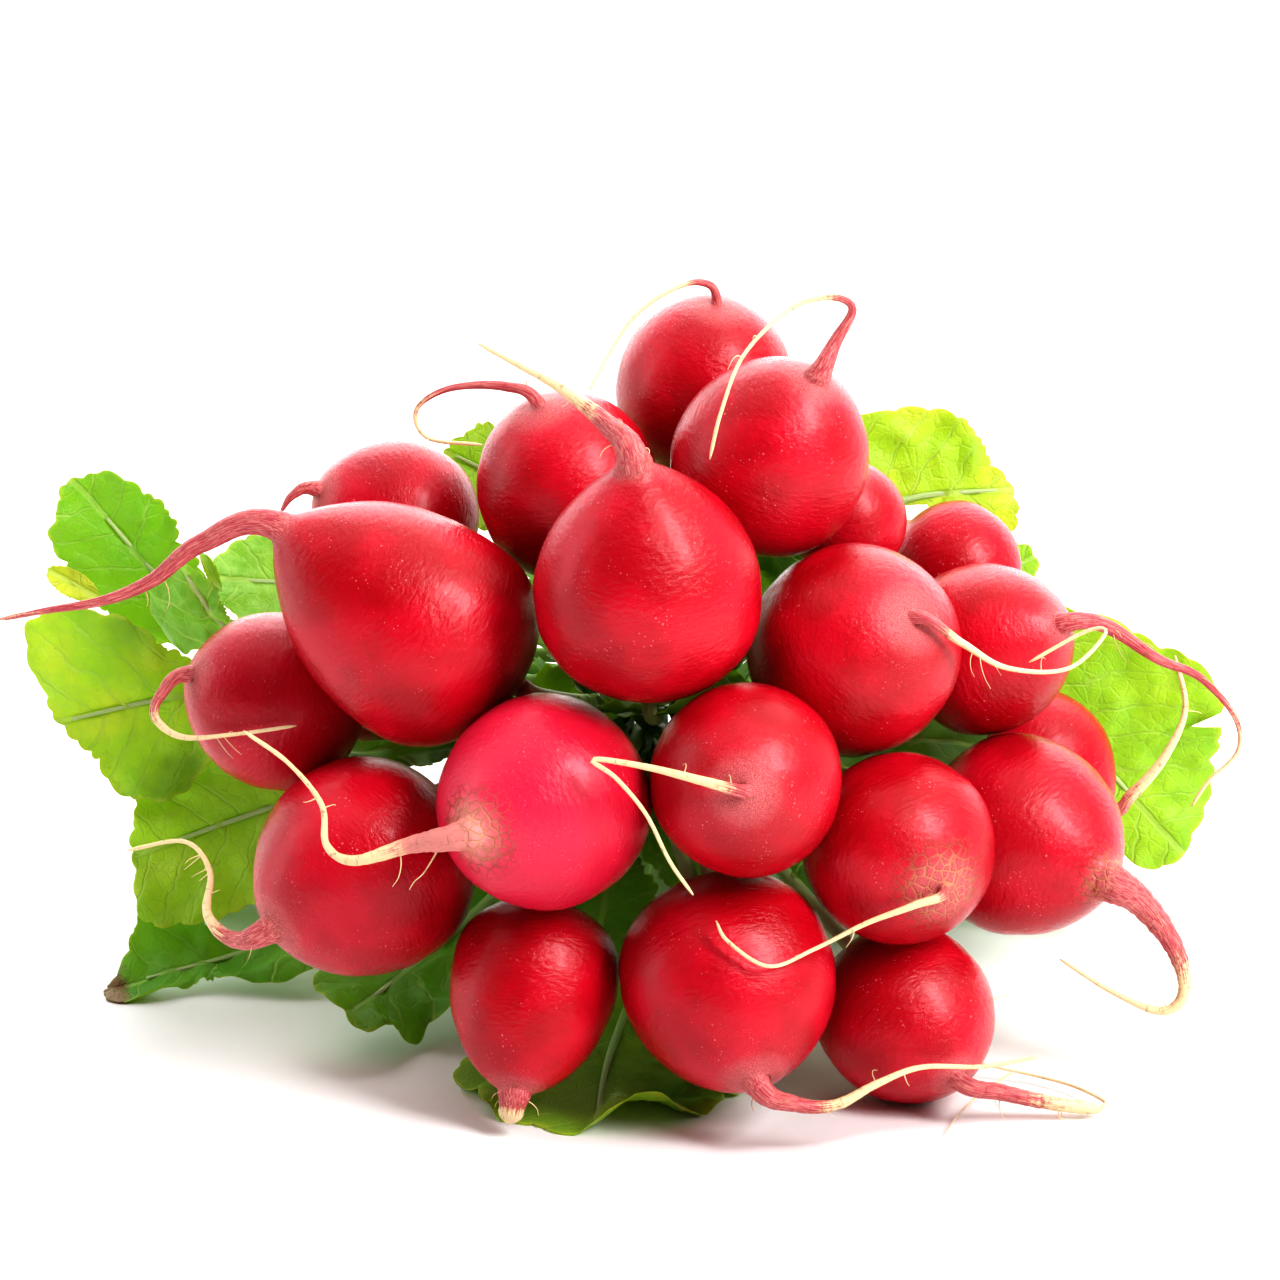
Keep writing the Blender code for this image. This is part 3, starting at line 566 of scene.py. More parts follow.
def tailRadii(index, root, creased, thinning, run):
    shape = rootShape
    thin = root["thin"] * (1.0 if root["thin"] > shape["brokenFrom"] else shape["slimmer"])
    radii = (thin + (root["thick"] - thin) * (1 - run / run[-1]) ** thinning) / 2
    radii = radii * (1 + (shape["flare"] - 1) * np.exp(-run / shape["flareRun"]))
    creases = np.array([noise.noise(Vector((s * shape["creaseScale"], index * 5.1, 0.0))) for s in run])
    fine = np.array([noise.noise(Vector((s * shape["fineScale"], index * 9.7, 3.0))) for s in run])
    radii = radii * (1 + creased * (shape["crease"] * creases + shape["fine"] * fine))
    radii[-len(shape["rounding"]):] *= shape["rounding"]
    return radii


def tailLine(root):
    route = [root["centre"], root["neck"]] + root["tail"]
    whole = smoothPath(route, 600)
    start = int(np.argmin(np.linalg.norm(whole - root["neck"], axis=1)))
    tail = whole[start:]
    return spread(tail, max(rootShape["fewestRings"], round(runOf(tail)[-1] / rootShape["tailStep"])))


def turnedSoftly(along, neck):
    first, last = neck - rootShape["softBefore"], min(neck + rootShape["softAfter"], len(along) - 1)
    for _ in range(rootShape["softRounds"]):
        along[first:last] = (along[first - 1:last - 1] + along[first + 1:last + 1]) / 2
    return np.array([unit(v) for v in along])


def skinValues(index, stations, reach, run, blush, cream):
    # What the skin's material reads at each ring, first for the body and then for the tail.
    shape = rootShape
    nearNeck = np.exp(-reach * (1 - np.maximum(stations, 0)) / shape["neckFade"])
    overlap, fade = shape["skinEnds"]
    fleshy = np.clip(1 - (reach * (1 - stations) - overlap) / fade, 0, 1) * (stations > 0.5)
    pinkest, pinker = shape["blushes"]
    crownEnd, crownFade = shape["crownEdge"]
    scar = scars.get(index + 1, 0.0)
    body, tail = np.ones(len(stations)), np.ones(len(run))
    values = {
        "tail": (fleshy, tail), "cream": (0 * body, cream),
        "blush": (blush * np.clip(pinkest + pinker * stations, 0, 1), blush * tail),
        "crown": (np.clip((-stations - crownEnd) / crownFade, 0, 1), 0 * tail),
        "nearNeck": (nearNeck, tail), "scar": (scar * nearNeck, scar * np.exp(-run / shape["scarFade"])),
    }
    return {name: np.repeat(np.concatenate(pair), shape["sides"]) for name, pair in values.items()}


def rootPiece(index, root, look):
    blush, creamFrom, creamTo, creased, thinning = look
    shape = rootShape
    axis = rootAxis(root)
    reach = float(np.linalg.norm(root["neck"] - root["centre"]))
    depth = root["radius"] * shape["crownDepth"]
    stations = np.concatenate([-np.cos(np.linspace(0, math.pi / 2, shape["backRings"])),
                               np.sin(np.linspace(0, math.pi / 2, shape["frontRings"]))[1:]])
    bodies = len(stations)
    bodyCentres = root["centre"] + axis * np.where(stations < 0, stations * depth, stations * reach)[:, None]
    tail = tailLine(root)[1:]
    run = runOf(np.vstack([root["neck"], tail]))[1:]
    centres = np.vstack([bodyCentres, tail])
    along = turnedSoftly(np.vstack([np.tile(axis, (bodies, 1)), directions(tail)]), bodies)
    sides = carriedSides(along)
    slim = tailRadii(index, root, creased, thinning, run)
    radii = np.tile(np.concatenate([bodyRadii(root, stations), slim])[:, None], (1, shape["sides"]))
    points, angles = ringPoints(centres, along, sides, radii)
    lumps = (shape["lump"] * wobble(points, shape["lumpScale"], index)
             + shape["dent"] * wobble(points, shape["dentScale"], index + 40))
    swell = np.concatenate([np.ones(bodies), np.full(len(tail), shape["tailLumps"])])[:, None]
    radii = radii * (1 + lumps.reshape(radii.shape) * swell)
    points, _ = ringPoints(centres, along, sides, radii)
    points = np.clip(points, roomLow + shape["wallGap"], roomHigh - shape["wallGap"])
    onSkin = np.concatenate([np.where(stations < 0, stations * depth - reach, (stations - 1) * reach), run])
    cream = np.clip((run / run[-1] - creamFrom) / (creamTo - creamFrom), 0, 1)
    shell = Shell("grain", "tail", "cream", "blush", "crown", "nearNeck", "scar")
    shell.add(points, tubeFaces(len(centres), shape["sides"]), grain=grainOf(angles, radii, onSkin),
              **skinValues(index, stations, reach, run, blush, cream))
    addHairs(shell, index, tail, slim, sides[bodies:], along[bodies:], cream)
    return shell.piece(f"radish{index + 1:02d}", [skin], "radish_skin", f"radish_{index + 1:02d}")


hairShape = {
    "sides": 5, "points": 22, "tip": 0.35, "wallGap": 0.8, "radius": 0.16, "thinner": (0.6, 1.0),
    "along": (0.02, 0.75), "length": (2.0, 5.0), "bend": (0.1, 0.7), "sag": 0.35, "foot": 0.6, "creamer": 0.5,
    "steps": ((0.4, 0.15), (0.7, 0.5), (0.8, 1.0)),  # shares of the length outward and of the bend
    "counts": {1: 6, 2: 3, 6: 4, 8: 6, 9: 5, 12: 7, 15: 5, 16: 4, 17: 7, 18: 3, 19: 4, 20: 5}, "usual": 2,
}


def hairTube(shell, route, radius, cream):
    shape = hairShape
    route = np.clip(np.array(route, float), roomLow + shape["wallGap"], roomHigh - shape["wallGap"])
    path = smoothPath(list(route), shape["points"])
    along = directions(path)
    radii = np.tile((radius * np.linspace(1.0, shape["tip"], len(path)))[:, None], (1, shape["sides"]))
    points, angles = ringPoints(path, along, carriedSides(along), radii)
    shell.add(points, tubeFaces(len(path), shape["sides"]), grain=grainOf(angles, radii, runOf(path)),
              tail=1.0, cream=cream)


def addHairs(shell, index, tail, radii, sides, along, cream):
    shape = hairShape
    vary = random.Random(100 + index)
    for _ in range(shape["counts"].get(index + 1, shape["usual"])):
        k = int(len(tail) * vary.uniform(*shape["along"]))
        turn = vary.uniform(0, math.tau)
        out = math.cos(turn) * sides[k] + math.sin(turn) * np.cross(along[k], sides[k])
        length = vary.uniform(*shape["length"])
        bend = along[k] * vary.uniform(*shape["bend"]) + np.array([0, 0, -shape["sag"]])
        start = tail[k] + out * radii[k] * shape["foot"]
        route = [start] + [start + out * length * far + bend * length * bent for far, bent in shape["steps"]]
        radius = shape["radius"] * vary.uniform(*shape["thinner"])
        hairTube(shell, route, radius, min(1.0, cream[k] + shape["creamer"]))
    for number, radius, route in longHairs:
        if number == index + 1:
            hairTube(shell, route, radius, 1.0)


# Longer rootlets: the root each belongs to, its radius and its route.
longHairs = [
    (20, 0.42, [(82, 20, 2.2), (83.2, 24, 1.6), (80, 28.4, 2), (76.6, 32.3, 2), (71.2, 36.3, 2),
                (63.4, 38.7, 3), (60.4, 40.7, 4), (56, 38, 9)]),
    (20, 0.22, [(67, 30, 5), (61.8, 26.3, 3), (57.4, 21.7, 1), (53.6, 11.1, 0.5)]),
    (20, 0.15, [(61, 31, 18), (62.7, 30, 18.9), (64.4, 30, 19.3), (66, 30, 20.1)]),
    (15, 0.20, [(-34.5, 5.5, 55), (-35.7, 5, 53), (-37.1, 5, 50.8), (-38.6, 5, 49.4), (-39.5, 5, 47.9)]),
    (1, 0.17, [(-2, 19, 122), (-3.8, 18, 123), (-5.1, 17.5, 122.9), (-6.3, 17.5, 122), (-6.8, 17.5, 120.9)]),
    (1, 0.17, [(-1, 18, 121), (0.8, 17, 122.6), (1.6, 16.5, 122.2), (1.0, 16, 120.6)]),
]

for number, (root, look) in enumerate(zip(radishes, rootLooks)):
    rootPiece(number, root, look)
print("roots made")


# The leaves: their places are worked out as in the part's source

def leaf(root, width, face, bare, curl, route, **look):
    plain = dict(tint=0.5, age=0.1, dry=0.0, pale=0.0, ribs=0.55, ruffle=1.6, scallop=1.6, lobes=0,
                 rises=(), slits=(), outline=None, middle=0.58, smalls=())
    return dict(plain, root=root - 1, width=width, face=np.array(face, float), bare=bare, curl=curl,
                route=[np.array(p, float) for p in route], **look)


flaredLeaves = [
    leaf(2, 32, (0.1, -1.0, -0.1), 0.46, 0.10,
         [(-22, 109, 62), (-56, 112, 62), (-86, 111, 70), (-107, 107, 94)]),
    leaf(16, 40, (0.1, -1.0, 0.2), 0.34, 0.12,
         [(-22, 105, 55), (-50, 104, 56), (-84, 101, 56), (-117, 97, 50)]),
    leaf(3, 22, (-0.5, -1.0, 0.0), 0.55, -0.25,
         [(-22, 108, 66), (-50, 98, 64), (-76, 90, 70), (-88, 88, 86)]),
    leaf(1, 22, (0.1, -0.8, 0.6), 0.50, 0.15,
         [(-14, 111, 66), (-38, 120, 68), (-62, 122, 72), (-86, 120, 74)]),
    leaf(17, 42, (0.1, -1.0, 0.4), 0.36, 0.10,
         [(-20, 105, 50), (-44, 104, 42), (-70, 99, 34), (-95, 95, 26)]),
    leaf(17, 22, (0.0, -0.6, 1.0), 0.40, 0.30,
         [(-22, 100, 36), (-42, 97, 20), (-70, 91, 9), (-102, 86, 1)]),
    leaf(18, 26, (0.3, -0.5, 1.0), 0.42, 0.20,
         [(-8, 103, 40), (-22, 92, 24), (-42, 70, 12), (-56, 46, 8)]),
    leaf(19, 54, (0.0, 0.0, 1.0), 0.38, 0.04,
         [(1, 103, 34), (2, 98, 14), (-1, 82, 3), (-6, 46, 0), (-8, 11, 0)]),
    leaf(12, 52, (-0.1, -1.0, 0.1), 0.34, 0.10,
         [(24, 102, 55), (50, 105, 60), (76, 105, 54), (103, 102, 27)]),
    leaf(10, 32, (0.0, -1.0, 0.3), 0.44, 0.12,
         [(14, 106, 66), (30, 108, 80), (50, 113, 91), (74, 116, 93)]),
    leaf(9, 16, (0.0, -1.0, 0.3), 0.55, 0.15,
         [(22, 103, 58), (44, 107, 64), (63, 113, 73), (78, 115, 80)]),
    leaf(4, 20, (0.2, -1.0, 0.3), 0.50, 0.15,
         [(-6, 108, 64), (-15, 113, 80), (-26, 114, 94), (-38, 111, 102)]),
]
# Outlines are reaches from the blade's middle: degrees from the tip towards its left edge, millimetres.
leafLooks = [
    dict(tint=0.56, age=0.08, scallop=1.3, middle=0.78, outline=[
        (6, 18), (25, 16.5), (41, 16), (68, 13), (105, 12), (149, 18.5), (180, 20), (235, 10), (264, 10),
        (305, 11.5), (331, 15)]),
    dict(tint=0.80, age=0.34, scallop=1.0, middle=0.755, outline=[
        (-3, 14), (12, 12.5), (37, 11), (57, 13.5), (75, 17), (89, 18.5), (117, 20), (149, 19), (188, 16),
        (234, 14), (277, 20), (304, 25), (320, 21), (339, 16)],
         smalls=[
        dict(route=[(-104, 103, 74), (-109, 103, 77), (-114, 102.5, 80)], half=2.6, tint=0.95, age=1.0)]),
    dict(tint=0.40, age=0.0, ribs=1.0, pale=0.35, scallop=0.6, middle=0.76, outline=[
        (12, 10), (48, 11.5), (73, 14), (91, 16), (108, 16), (123, 11), (146, 8), (190, 7), (246, 4),
        (329, 5), (348, 9)]),
    dict(tint=0.62, age=0.1, ribs=1.0, pale=0.8, smalls=[
        dict(route=[(-80, 100, 76), (-82, 100, 80), (-84, 100, 84)], half=1.2, tint=0.8, age=0.5)]),
    dict(tint=0.92, age=0.30, scallop=1.2, middle=0.77, outline=[
        (3, 18), (20, 21), (36, 23), (68, 18), (100, 17), (137, 17), (193, 16.5), (236, 16.5), (280, 19),
        (305, 17), (323, 16.5), (344, 17)]),
    dict(tint=0.50, age=0.10, dry=0.9, middle=0.73, ruffle=2.6, outline=[
        (0, 20), (18, 20), (34, 11), (60, 6), (90, 5), (125, 8), (153, 24), (176, 19), (216, 9), (280, 9.5),
        (310, 15), (343, 16)]),
    dict(tint=0.44, age=0.06, ruffle=3.0, scallop=2.6, smalls=[
        # The six large dark blades here sit inside the bunch: painted shade that fills the gaps between the
        # roots.
        dict(route=[(-28, 66, 44), (-12, 66, 46), (6, 66, 48)], half=13, tint=0.10, age=0.0),
        dict(route=[(2, 64, 30), (12, 64, 44), (20, 64, 58)], half=12, tint=0.16, age=0.0),
        dict(route=[(-8, 62, 76), (4, 62, 72), (16, 62, 66)], half=9, tint=0.14, age=0.0),
        dict(route=[(28, 70, 56), (46, 71, 55), (67, 77, 53)], half=10, tint=0.12, age=0.0),
        dict(route=[(-8, 62, 11), (-7, 63, 23), (-5, 64, 36)], half=10, tint=0.12, age=0.0),
        dict(route=[(-58, 66, 54), (-44, 65, 56), (-30, 64, 58)], half=8, tint=0.16, age=0.0)]),
    dict(tint=0.76, age=0.0, ruffle=2.4, rises=[(58, 5.5, 20), (18, 3.0, 12), (300, 2.5, 14)]),
    dict(tint=0.76, age=0.20, scallop=0.8, middle=0.705, slits=[(68, 0.30, 3.0), (48, 0.05, 5.0)], outline=[
        (3, 25.5), (24, 24), (40, 23.5), (62, 24), (74, 27), (92, 27), (110, 25.5), (133, 27), (153, 33),
        (172, 28), (195, 18), (260, 9), (321, 12), (334, 20), (346, 25)]),
    dict(tint=0.98, age=0.42, scallop=0.5, middle=0.67, outline=[
        (6, 13), (28, 11), (52, 12), (80, 15), (102, 17.5), (119, 20), (129, 24), (141, 19), (163, 14),
        (179, 11), (195, 5.5), (241, 3), (294, 4.5), (312, 11), (326, 14.5), (349, 14)]),
    dict(tint=0.78, age=0.25),
    dict(tint=0.9, age=0.42, pale=0.4),
]
for item, look in zip(flaredLeaves, leafLooks):
    item.update(look)

fans = [
    dict(length=92, width=32, bend=76, rest=62, leaves=[(1, -34), (5, -4), (6, 25), (7, 52)]),
    dict(length=106, width=38, bend=48, rest=31,
         leaves=[(16, -66), (2, -40), (15, -14), (14, 12), (8, 38), (11, 60)]),
    dict(length=118, width=43, bend=15, rest=0.2,
         leaves=[(18, -60), (17, -33), (19, -4), (13, 25), (20, 54)]),
]
fanRules = {
    "route": [(0.2, 0.09), (0.42, 1.0), (0.72, 0.62), (1.0, 0.0)], "bare": 0.36, "curl": 0.12,
    "turn": 3, "lengths": (0.88, 1.08), "widths": (0.88, 1.04), "tints": (0.15, 0.65), "ages": (0.0, 0.28),
    "lobes": (1, 2), "ruffles": (1.6, 3.0), "scallops": (1.4, 2.4),
}
stalkRules = {
    "radius": 1.4, "pitch": 3.7, "touch": 0.3, "bandWidth": 7.0, "margin": 3.0, "entry": 18, "exit": 16,
    "rounds": 160, "routePoints": 120, "rootPull": 1 / 12, "bladePull": 1 / 16, "gather": 0.97,
    "gatherRounds": 4, "entryPull": 0.38, "crownPull": 0.6, "clearance": 1.0, "ownPoints": 8,
    "straighten": 0.22, "spacing": 1.05,
}


def fanLeaf(fan, root, heading, length, width, look):
    angle = math.radians(heading)
    route = []
    for share, height in fanRules["route"]:
        base = fan["rest"] if route else tieCentre[2]
        forward = share * length
        route.append((tieCentre[0] + forward * math.sin(angle), tieCentre[1] + forward * math.cos(angle),
                      base + (fan["bend"] - base) * height))
    return leaf(root, width, (0.0, 0.0, 1.0), fanRules["bare"], fanRules["curl"], route, **look)


def allLeaves():
    vary, tints = random.Random(11), random.Random(29)
    leaves = list(flaredLeaves)
    for fan in fans:
        for root, heading in fan["leaves"]:
            heading = heading + vary.uniform(-fanRules["turn"], fanRules["turn"])
            length = fan["length"] * vary.uniform(*fanRules["lengths"])
            width = fan["width"] * vary.uniform(*fanRules["widths"])
            look = dict(tint=tints.uniform(*fanRules["tints"]), age=tints.uniform(*fanRules["ages"]),
                        lobes=tints.choice(fanRules["lobes"]), ruffle=tints.uniform(*fanRules["ruffles"]),
                        scallop=tints.uniform(*fanRules["scallops"]))
            leaves.append(fanLeaf(fan, root, heading, length, width, look))
    return leaves


def pushedApart(points, least, own):
    squares = (points**2).sum(axis=1)
    squared = squares[:, None] + squares[None] - 2 * points @ points.T
    first, second = np.nonzero((squared < least**2) & ~own)
    apart = points[first] - points[second]
    distance = np.linalg.norm(apart, axis=1) + 1e-9
    move = np.zeros_like(points)
    np.add.at(move, first, apart * (0.5 * np.clip(least - distance, 0.0, None) / distance)[:, None])
    return move


def stalkSlots(leaves):
    # Each stalk's place in the band: on its root's side and its blade's side, packed closely.
    rules = stalkRules
    entries = np.array([radishes[item["root"]]["centre"] - tieCentre for item in leaves])
    exits = np.array([item["route"][-1] - tieCentre for item in leaves])
    slots = entries[:, [0, 2]] * rules["rootPull"] + exits[:, [0, 2]] * rules["bladePull"]
    same = np.eye(len(slots), dtype=bool)
    for _ in range(rules["rounds"]):
        slots = slots * rules["gather"]
        for _ in range(rules["gatherRounds"]):
            slots = slots + pushedApart(slots, rules["pitch"], same)
    return slots


def bezier(a, b, c, d, count):
    t = np.linspace(0.0, 1.0, count)[:, None]
    return a * (1 - t) ** 3 + 3 * b * t * (1 - t) ** 2 + 3 * c * t**2 * (1 - t) + d * t**3


def crownStart(leaves, index):
    item = leaves[index]
    root = radishes[item["root"]]
    axis = rootAxis(root)
    mates = [k for k, other in enumerate(leaves) if other["root"] == item["root"]]
    place = mates.index(index) - (len(mates) - 1) / 2
    reach = root["radius"] * rootShape["crownDepth"] + 2 * stalkRules["touch"]
    across = unit(np.cross(axis, (0.2, 1.0, 0.1)))
    return root["centre"] - axis * reach + across * place * stalkRules["pitch"] * stalkRules["spacing"]


def settledStalks(leaves):
    rules = stalkRules
    slots = stalkSlots(leaves)
    lines, blades = [], []
    for index, item in enumerate(leaves):
        start = crownStart(leaves, index)
        slot = tieCentre + np.array([slots[index][0], 0.0, slots[index][1]])
        straight = np.array([0.0, rules["bandWidth"] / 2 + rules["margin"], 0.0])
        before, after = slot - straight, slot + straight
        pull = rules["entryPull"] * float(np.linalg.norm(before - start))
        outward = -rootAxis(radishes[item["root"]])
        leaving = start + outward * pull * rules["crownPull"]
        entry = bezier(start, leaving, before - np.array([0.0, pull, 0.0]), before, rules["entry"])
        beyond = smoothPath([slot, after] + item["route"], rules["routePoints"])
        beyond = beyond[int(np.argmin(np.linalg.norm(beyond - after, axis=1))):]
        base = int(item["bare"] * len(beyond))
        picks = np.linspace(0, base, rules["exit"]).round().astype(int)
        lines.append(np.vstack([entry, slot, beyond[picks]]))
        blades.append(beyond[base:])
    return pushedStalks(leaves, np.array(lines)), blades


def pushedStalks(leaves, lines):
    rules = stalkRules
    count, length, _ = lines.shape
    leafOf = np.repeat(np.arange(count), length)
    own = leafOf[:, None] == leafOf[None]
    free = np.ones(length, bool)
    free[[0, 1, rules["entry"] - 1, rules["entry"], rules["entry"] + 1, length - 1]] = False
    for _ in range(rules["rounds"]):
        move = pushedApart(lines.reshape(-1, 3), rules["pitch"], own).reshape(lines.shape)
        for number, root in enumerate(radishes):
            away = lines - root["centre"]
            distance = np.linalg.norm(away, axis=2, keepdims=True)
            keep = root["radius"] + rules["radius"] + rules["clearance"]
            push = away / distance * np.clip(keep - distance, 0.0, None)
            mine = [k for k, item in enumerate(leaves) if item["root"] == number]
            push[mine, :rules["ownPoints"]] = 0.0
            move = move + push
        move[:, 1:-1] += rules["straighten"] * (lines[:, :-2] + lines[:, 2:] - 2 * lines[:, 1:-1])
        lines = lines + np.where(free[None, :, None], move, 0.0)
    return lines


leaves = allLeaves()
stalkLines, bladeLines = settledStalks(leaves)
print("stalks settled:", len(leaves))

bladeShape = {
    "turns": 168, "rings": 15, "thick": 0.5, "tipPower": 2.1, "basePower": 1.7, "edgePower": 6,
    "floorGap": 0.02, "fringePower": 7, "warp": 0.22, "warpScale": 1.7,
    "size": 18,  # the mean reach of a blade whose edge has the full depth
    "scallops": 5, "scallopPower": 0.6, "scallopLevel": 0.75,
    "teeth": 13.5, "toothDepth": 0.9, "toothPower": 0.7, "toothLevel": 0.6, "toothSize": 12,
    "waves": ((3, 0.5), (5, 0.6), (8, 0.35)), "wavePower": 2.5, "quilt": 1.6, "quiltScale": 0.21,
    "valley": 0.45, "valleyWidth": 3.0, "ribDepth": 0.22, "ribStart": 5, "dryFrom": 0.55, "patchwork": 13.0,
    "frames": 260, "easing": 6,
}


def leafFrames(line, bladePath, face):
    # The leaf's whole line with its arc length, 0 where the blade starts, and the frame at each point.
    bladeStart = runOf(line)[-1]
    whole = np.vstack([line[:-1], bladePath])
    path = eased(spread(whole, bladeShape["frames"]), bladeShape["easing"])
    run = runOf(path)
    run = run * (runOf(whole)[-1] / run[-1]) - bladeStart
    along = directions(path)
    faces = np.zeros_like(path)
    onBlade = int(np.searchsorted(run, 0.0))
    for k in range(onBlade, len(path)):
        faces[k] = unit(face - along[k] * float(face @ along[k]))
    faces[:onBlade + 1] = carriedSides(along[:onBlade + 1][::-1], faces[onBlade])[::-1]
    return dict(path=path, run=run, along=along, face=faces, across=np.cross(faces, along))


def atRun(frames, run, key):
    values = np.stack([np.interp(run, frames["run"], frames[key][:, k]) for k in range(3)], axis=-1)
    if key == "path":
        beyond = np.clip(run - frames["run"][-1], 0, None)
        values = values + beyond[..., None] * frames["along"][-1]
    return values


def ovalReach(halfWidth, tipLength, baseLength):
    def oval(angles, length, power):
        return ((np.abs(np.cos(angles)) / length) ** power
                + (np.abs(np.sin(angles)) / halfWidth) ** power) ** (-1 / power)

    def reach(angles):
        tip = oval(angles, tipLength, bladeShape["tipPower"])
        base = oval(angles, baseLength, bladeShape["basePower"])
        return np.where(np.cos(angles) > 0, tip, base)
    return reach


def outlineReach(outline):
    # A closed curve through listed reaches, given as (degrees from the tip, millimetres).
    degrees = np.array([d for d, _ in outline] + [outline[0][0] + 360], float)
    reaches = np.array([r for _, r in outline] + [outline[0][1]], float)

    def reach(angles):
        turn = (np.degrees(angles) - degrees[0]) % 360 + degrees[0]
        which = np.clip(np.searchsorted(degrees, turn, side="right") - 1, 0, len(outline) - 1)
        t = (turn - degrees[which]) / (degrees[which + 1] - degrees[which])
        return curveAt(*[reaches[(which + k) % len(outline)] for k in (-1, 0, 1, 2)], t)
    return reach


def turnedFrom(angles, degrees):
    return np.abs((np.degrees(angles) - degrees + 180) % 360 - 180)


def bladeReach(item, seed, angles, reach, shares):
    # How far each ring reaches at each angle: the outline, its slits, then scallops and teeth at the edge.
    shape = bladeShape
    smooth = reach(angles)
    size = float(smooth.mean())
    for degrees, depth, halfAngle in item["slits"]:
        away = turnedFrom(angles, degrees)
        smooth = smooth * (1 - depth * (away < halfAngle) * (1 - away / halfAngle))
    scale = shape["warpScale"]
    drift = [noise.noise(Vector((math.cos(a) * scale, math.sin(a) * scale, seed * 1.9))) for a in angles]
    warped = angles + shape["warp"] * np.array(drift)
    scallops = np.abs(np.sin(warped * shape["scallops"] + seed)) ** shape["scallopPower"]
    teeth = np.abs(np.sin(warped * shape["teeth"] + seed * 2)) ** shape["toothPower"]
    fringe = item["scallop"] * (scallops - shape["scallopLevel"]) * size / shape["size"]
    toothDepth = shape["toothDepth"] * min(1.0, size / shape["toothSize"])
    fringe = fringe + toothDepth * (teeth - shape["toothLevel"])
    radii = shares[:, None] * smooth[None] + (shares[:, None] ** shape["fringePower"]) * fringe[None]
    return radii, size, smooth[0]


def bladeLift(item, seed, angles, shares, x, y, size, ruffle):
    # How far the blade stands off its flat middle: curl, ruffled edge, raised parts, quilting and ribs.
    shape, ribs = bladeShape, leafLook
    vary = random.Random(seed)
    lift = item["curl"] * x**2 / (item["width"] / 2)
    wave = sum(np.sin(count * angles + vary.uniform(0, math.tau)) * high for count, high in shape["waves"])
    lift = lift + ruffle * (shares[:, None] ** shape["wavePower"]) * wave[None] * size / shape["size"]
    for degrees, height, width in item["rises"]:
        away = turnedFrom(angles, degrees) / width
        lift = lift + height * (shares[:, None] ** 2) * np.exp(-away**2)[None]
    spots = zip(x.ravel() * shape["quiltScale"], y.ravel() * shape["quiltScale"])
    quilt = np.array([noise.noise(Vector((px, py, seed * 3.3))) for px, py in spots]).reshape(x.shape)
    phase = (y - np.abs(x) * ribs["ribSlant"]) / ribs["ribSpacing"] + (x > 0) * ribs["ribOffset"]
    lift = lift + quilt * shape["quilt"] - shape["valley"] * np.exp(-x**2 / shape["valleyWidth"])
    return lift - shape["ribDepth"] * np.cos(math.tau * phase) * np.clip(np.abs(x) / shape["ribStart"], 0, 1)


def bladeFaces(rings, turns):
    # The upper rings, then the lower rings without the edge that both share, then the two middle points.
    faces = []
    lower = rings * turns
    topHeart = lower + (rings - 1) * turns
    for k in range(turns):
        n = (k + 1) % turns
        faces += [(topHeart, k, n), (topHeart + 1, lower + n, lower + k)]
        for r in range(rings - 1):
            faces.append((r * turns + k, (r + 1) * turns + k, (r + 1) * turns + n, r * turns + n))
            a = lower + r * turns
            b = a + turns if r < rings - 2 else (r + 1) * turns
            faces.append((a + n, b + n, b + k, a + k))
    return faces


def bladeSheet(shell, frames, item, seed, centre, sideways, reach, ruffle, lean=0.0):
    shape = bladeShape
    turns, rings = shape["turns"], shape["rings"]
    angles = np.arange(turns) * math.tau / turns
    shares = np.sin(np.linspace(0, math.pi / 2, rings + 1))[1:]
    radii, size, tipReach = bladeReach(item, seed, angles, reach, shares)
    x = radii * np.sin(angles + lean) + sideways
    y = radii * np.cos(angles + lean) + centre
    lift = bladeLift(item, seed, angles, shares, x, y, size, ruffle)
    place, face, across = [atRun(frames, y, key) for key in ("path", "face", "across")]
    middle = place + across * x[..., None] + face * lift[..., None]
    thick = shape["thick"] * np.sqrt(np.clip(1 - shares ** shape["edgePower"], 0, 1))[:, None, None] / 2
    top, under = middle + face * thick, middle - face * thick
    heart, heartFace, heartAcross = [
        atRun(frames, np.array([centre]), key)[0] for key in ("path", "face", "across")]
    heart = heart + heartAcross * sideways
    heartLift = item["curl"] * sideways**2 / (item["width"] / 2)
    hearts = [heart + heartFace * (heartLift + shape["thick"] / 2 * s) for s in (1, -1)]
    points = np.vstack([top.reshape(-1, 3), under[:-1].reshape(-1, 3), hearts])
    lowest = np.full(len(points), shape["floorGap"])
    lowest[:rings * turns] += shape["thick"]
    points[:, 2] = np.maximum(points[:, 2], lowest)
    sheet = seed * shape["patchwork"]  # moves each blade to its own part of the pattern
    flat = np.stack([x, y, np.full_like(x, sheet)], axis=2)
    spots = np.vstack([flat.reshape(-1, 3), flat[:-1].reshape(-1, 3), [(sideways, centre, sheet)] * 2])
    rim = np.concatenate([np.repeat(shares, turns), np.repeat(shares[:-1], turns), [0, 0]])
    tipward = (spots[:, 1] - centre) / max(tipReach, 1.0)
    dry = item["dry"] * np.clip((tipward - shape["dryFrom"]) / (1 - shape["dryFrom"]), 0, 1)
    shell.add(points, bladeFaces(rings, turns), 0, spot=spots, rim=rim, dry=dry,
              **{name: item[name] for name in ("tint", "age", "ribs", "pale")})


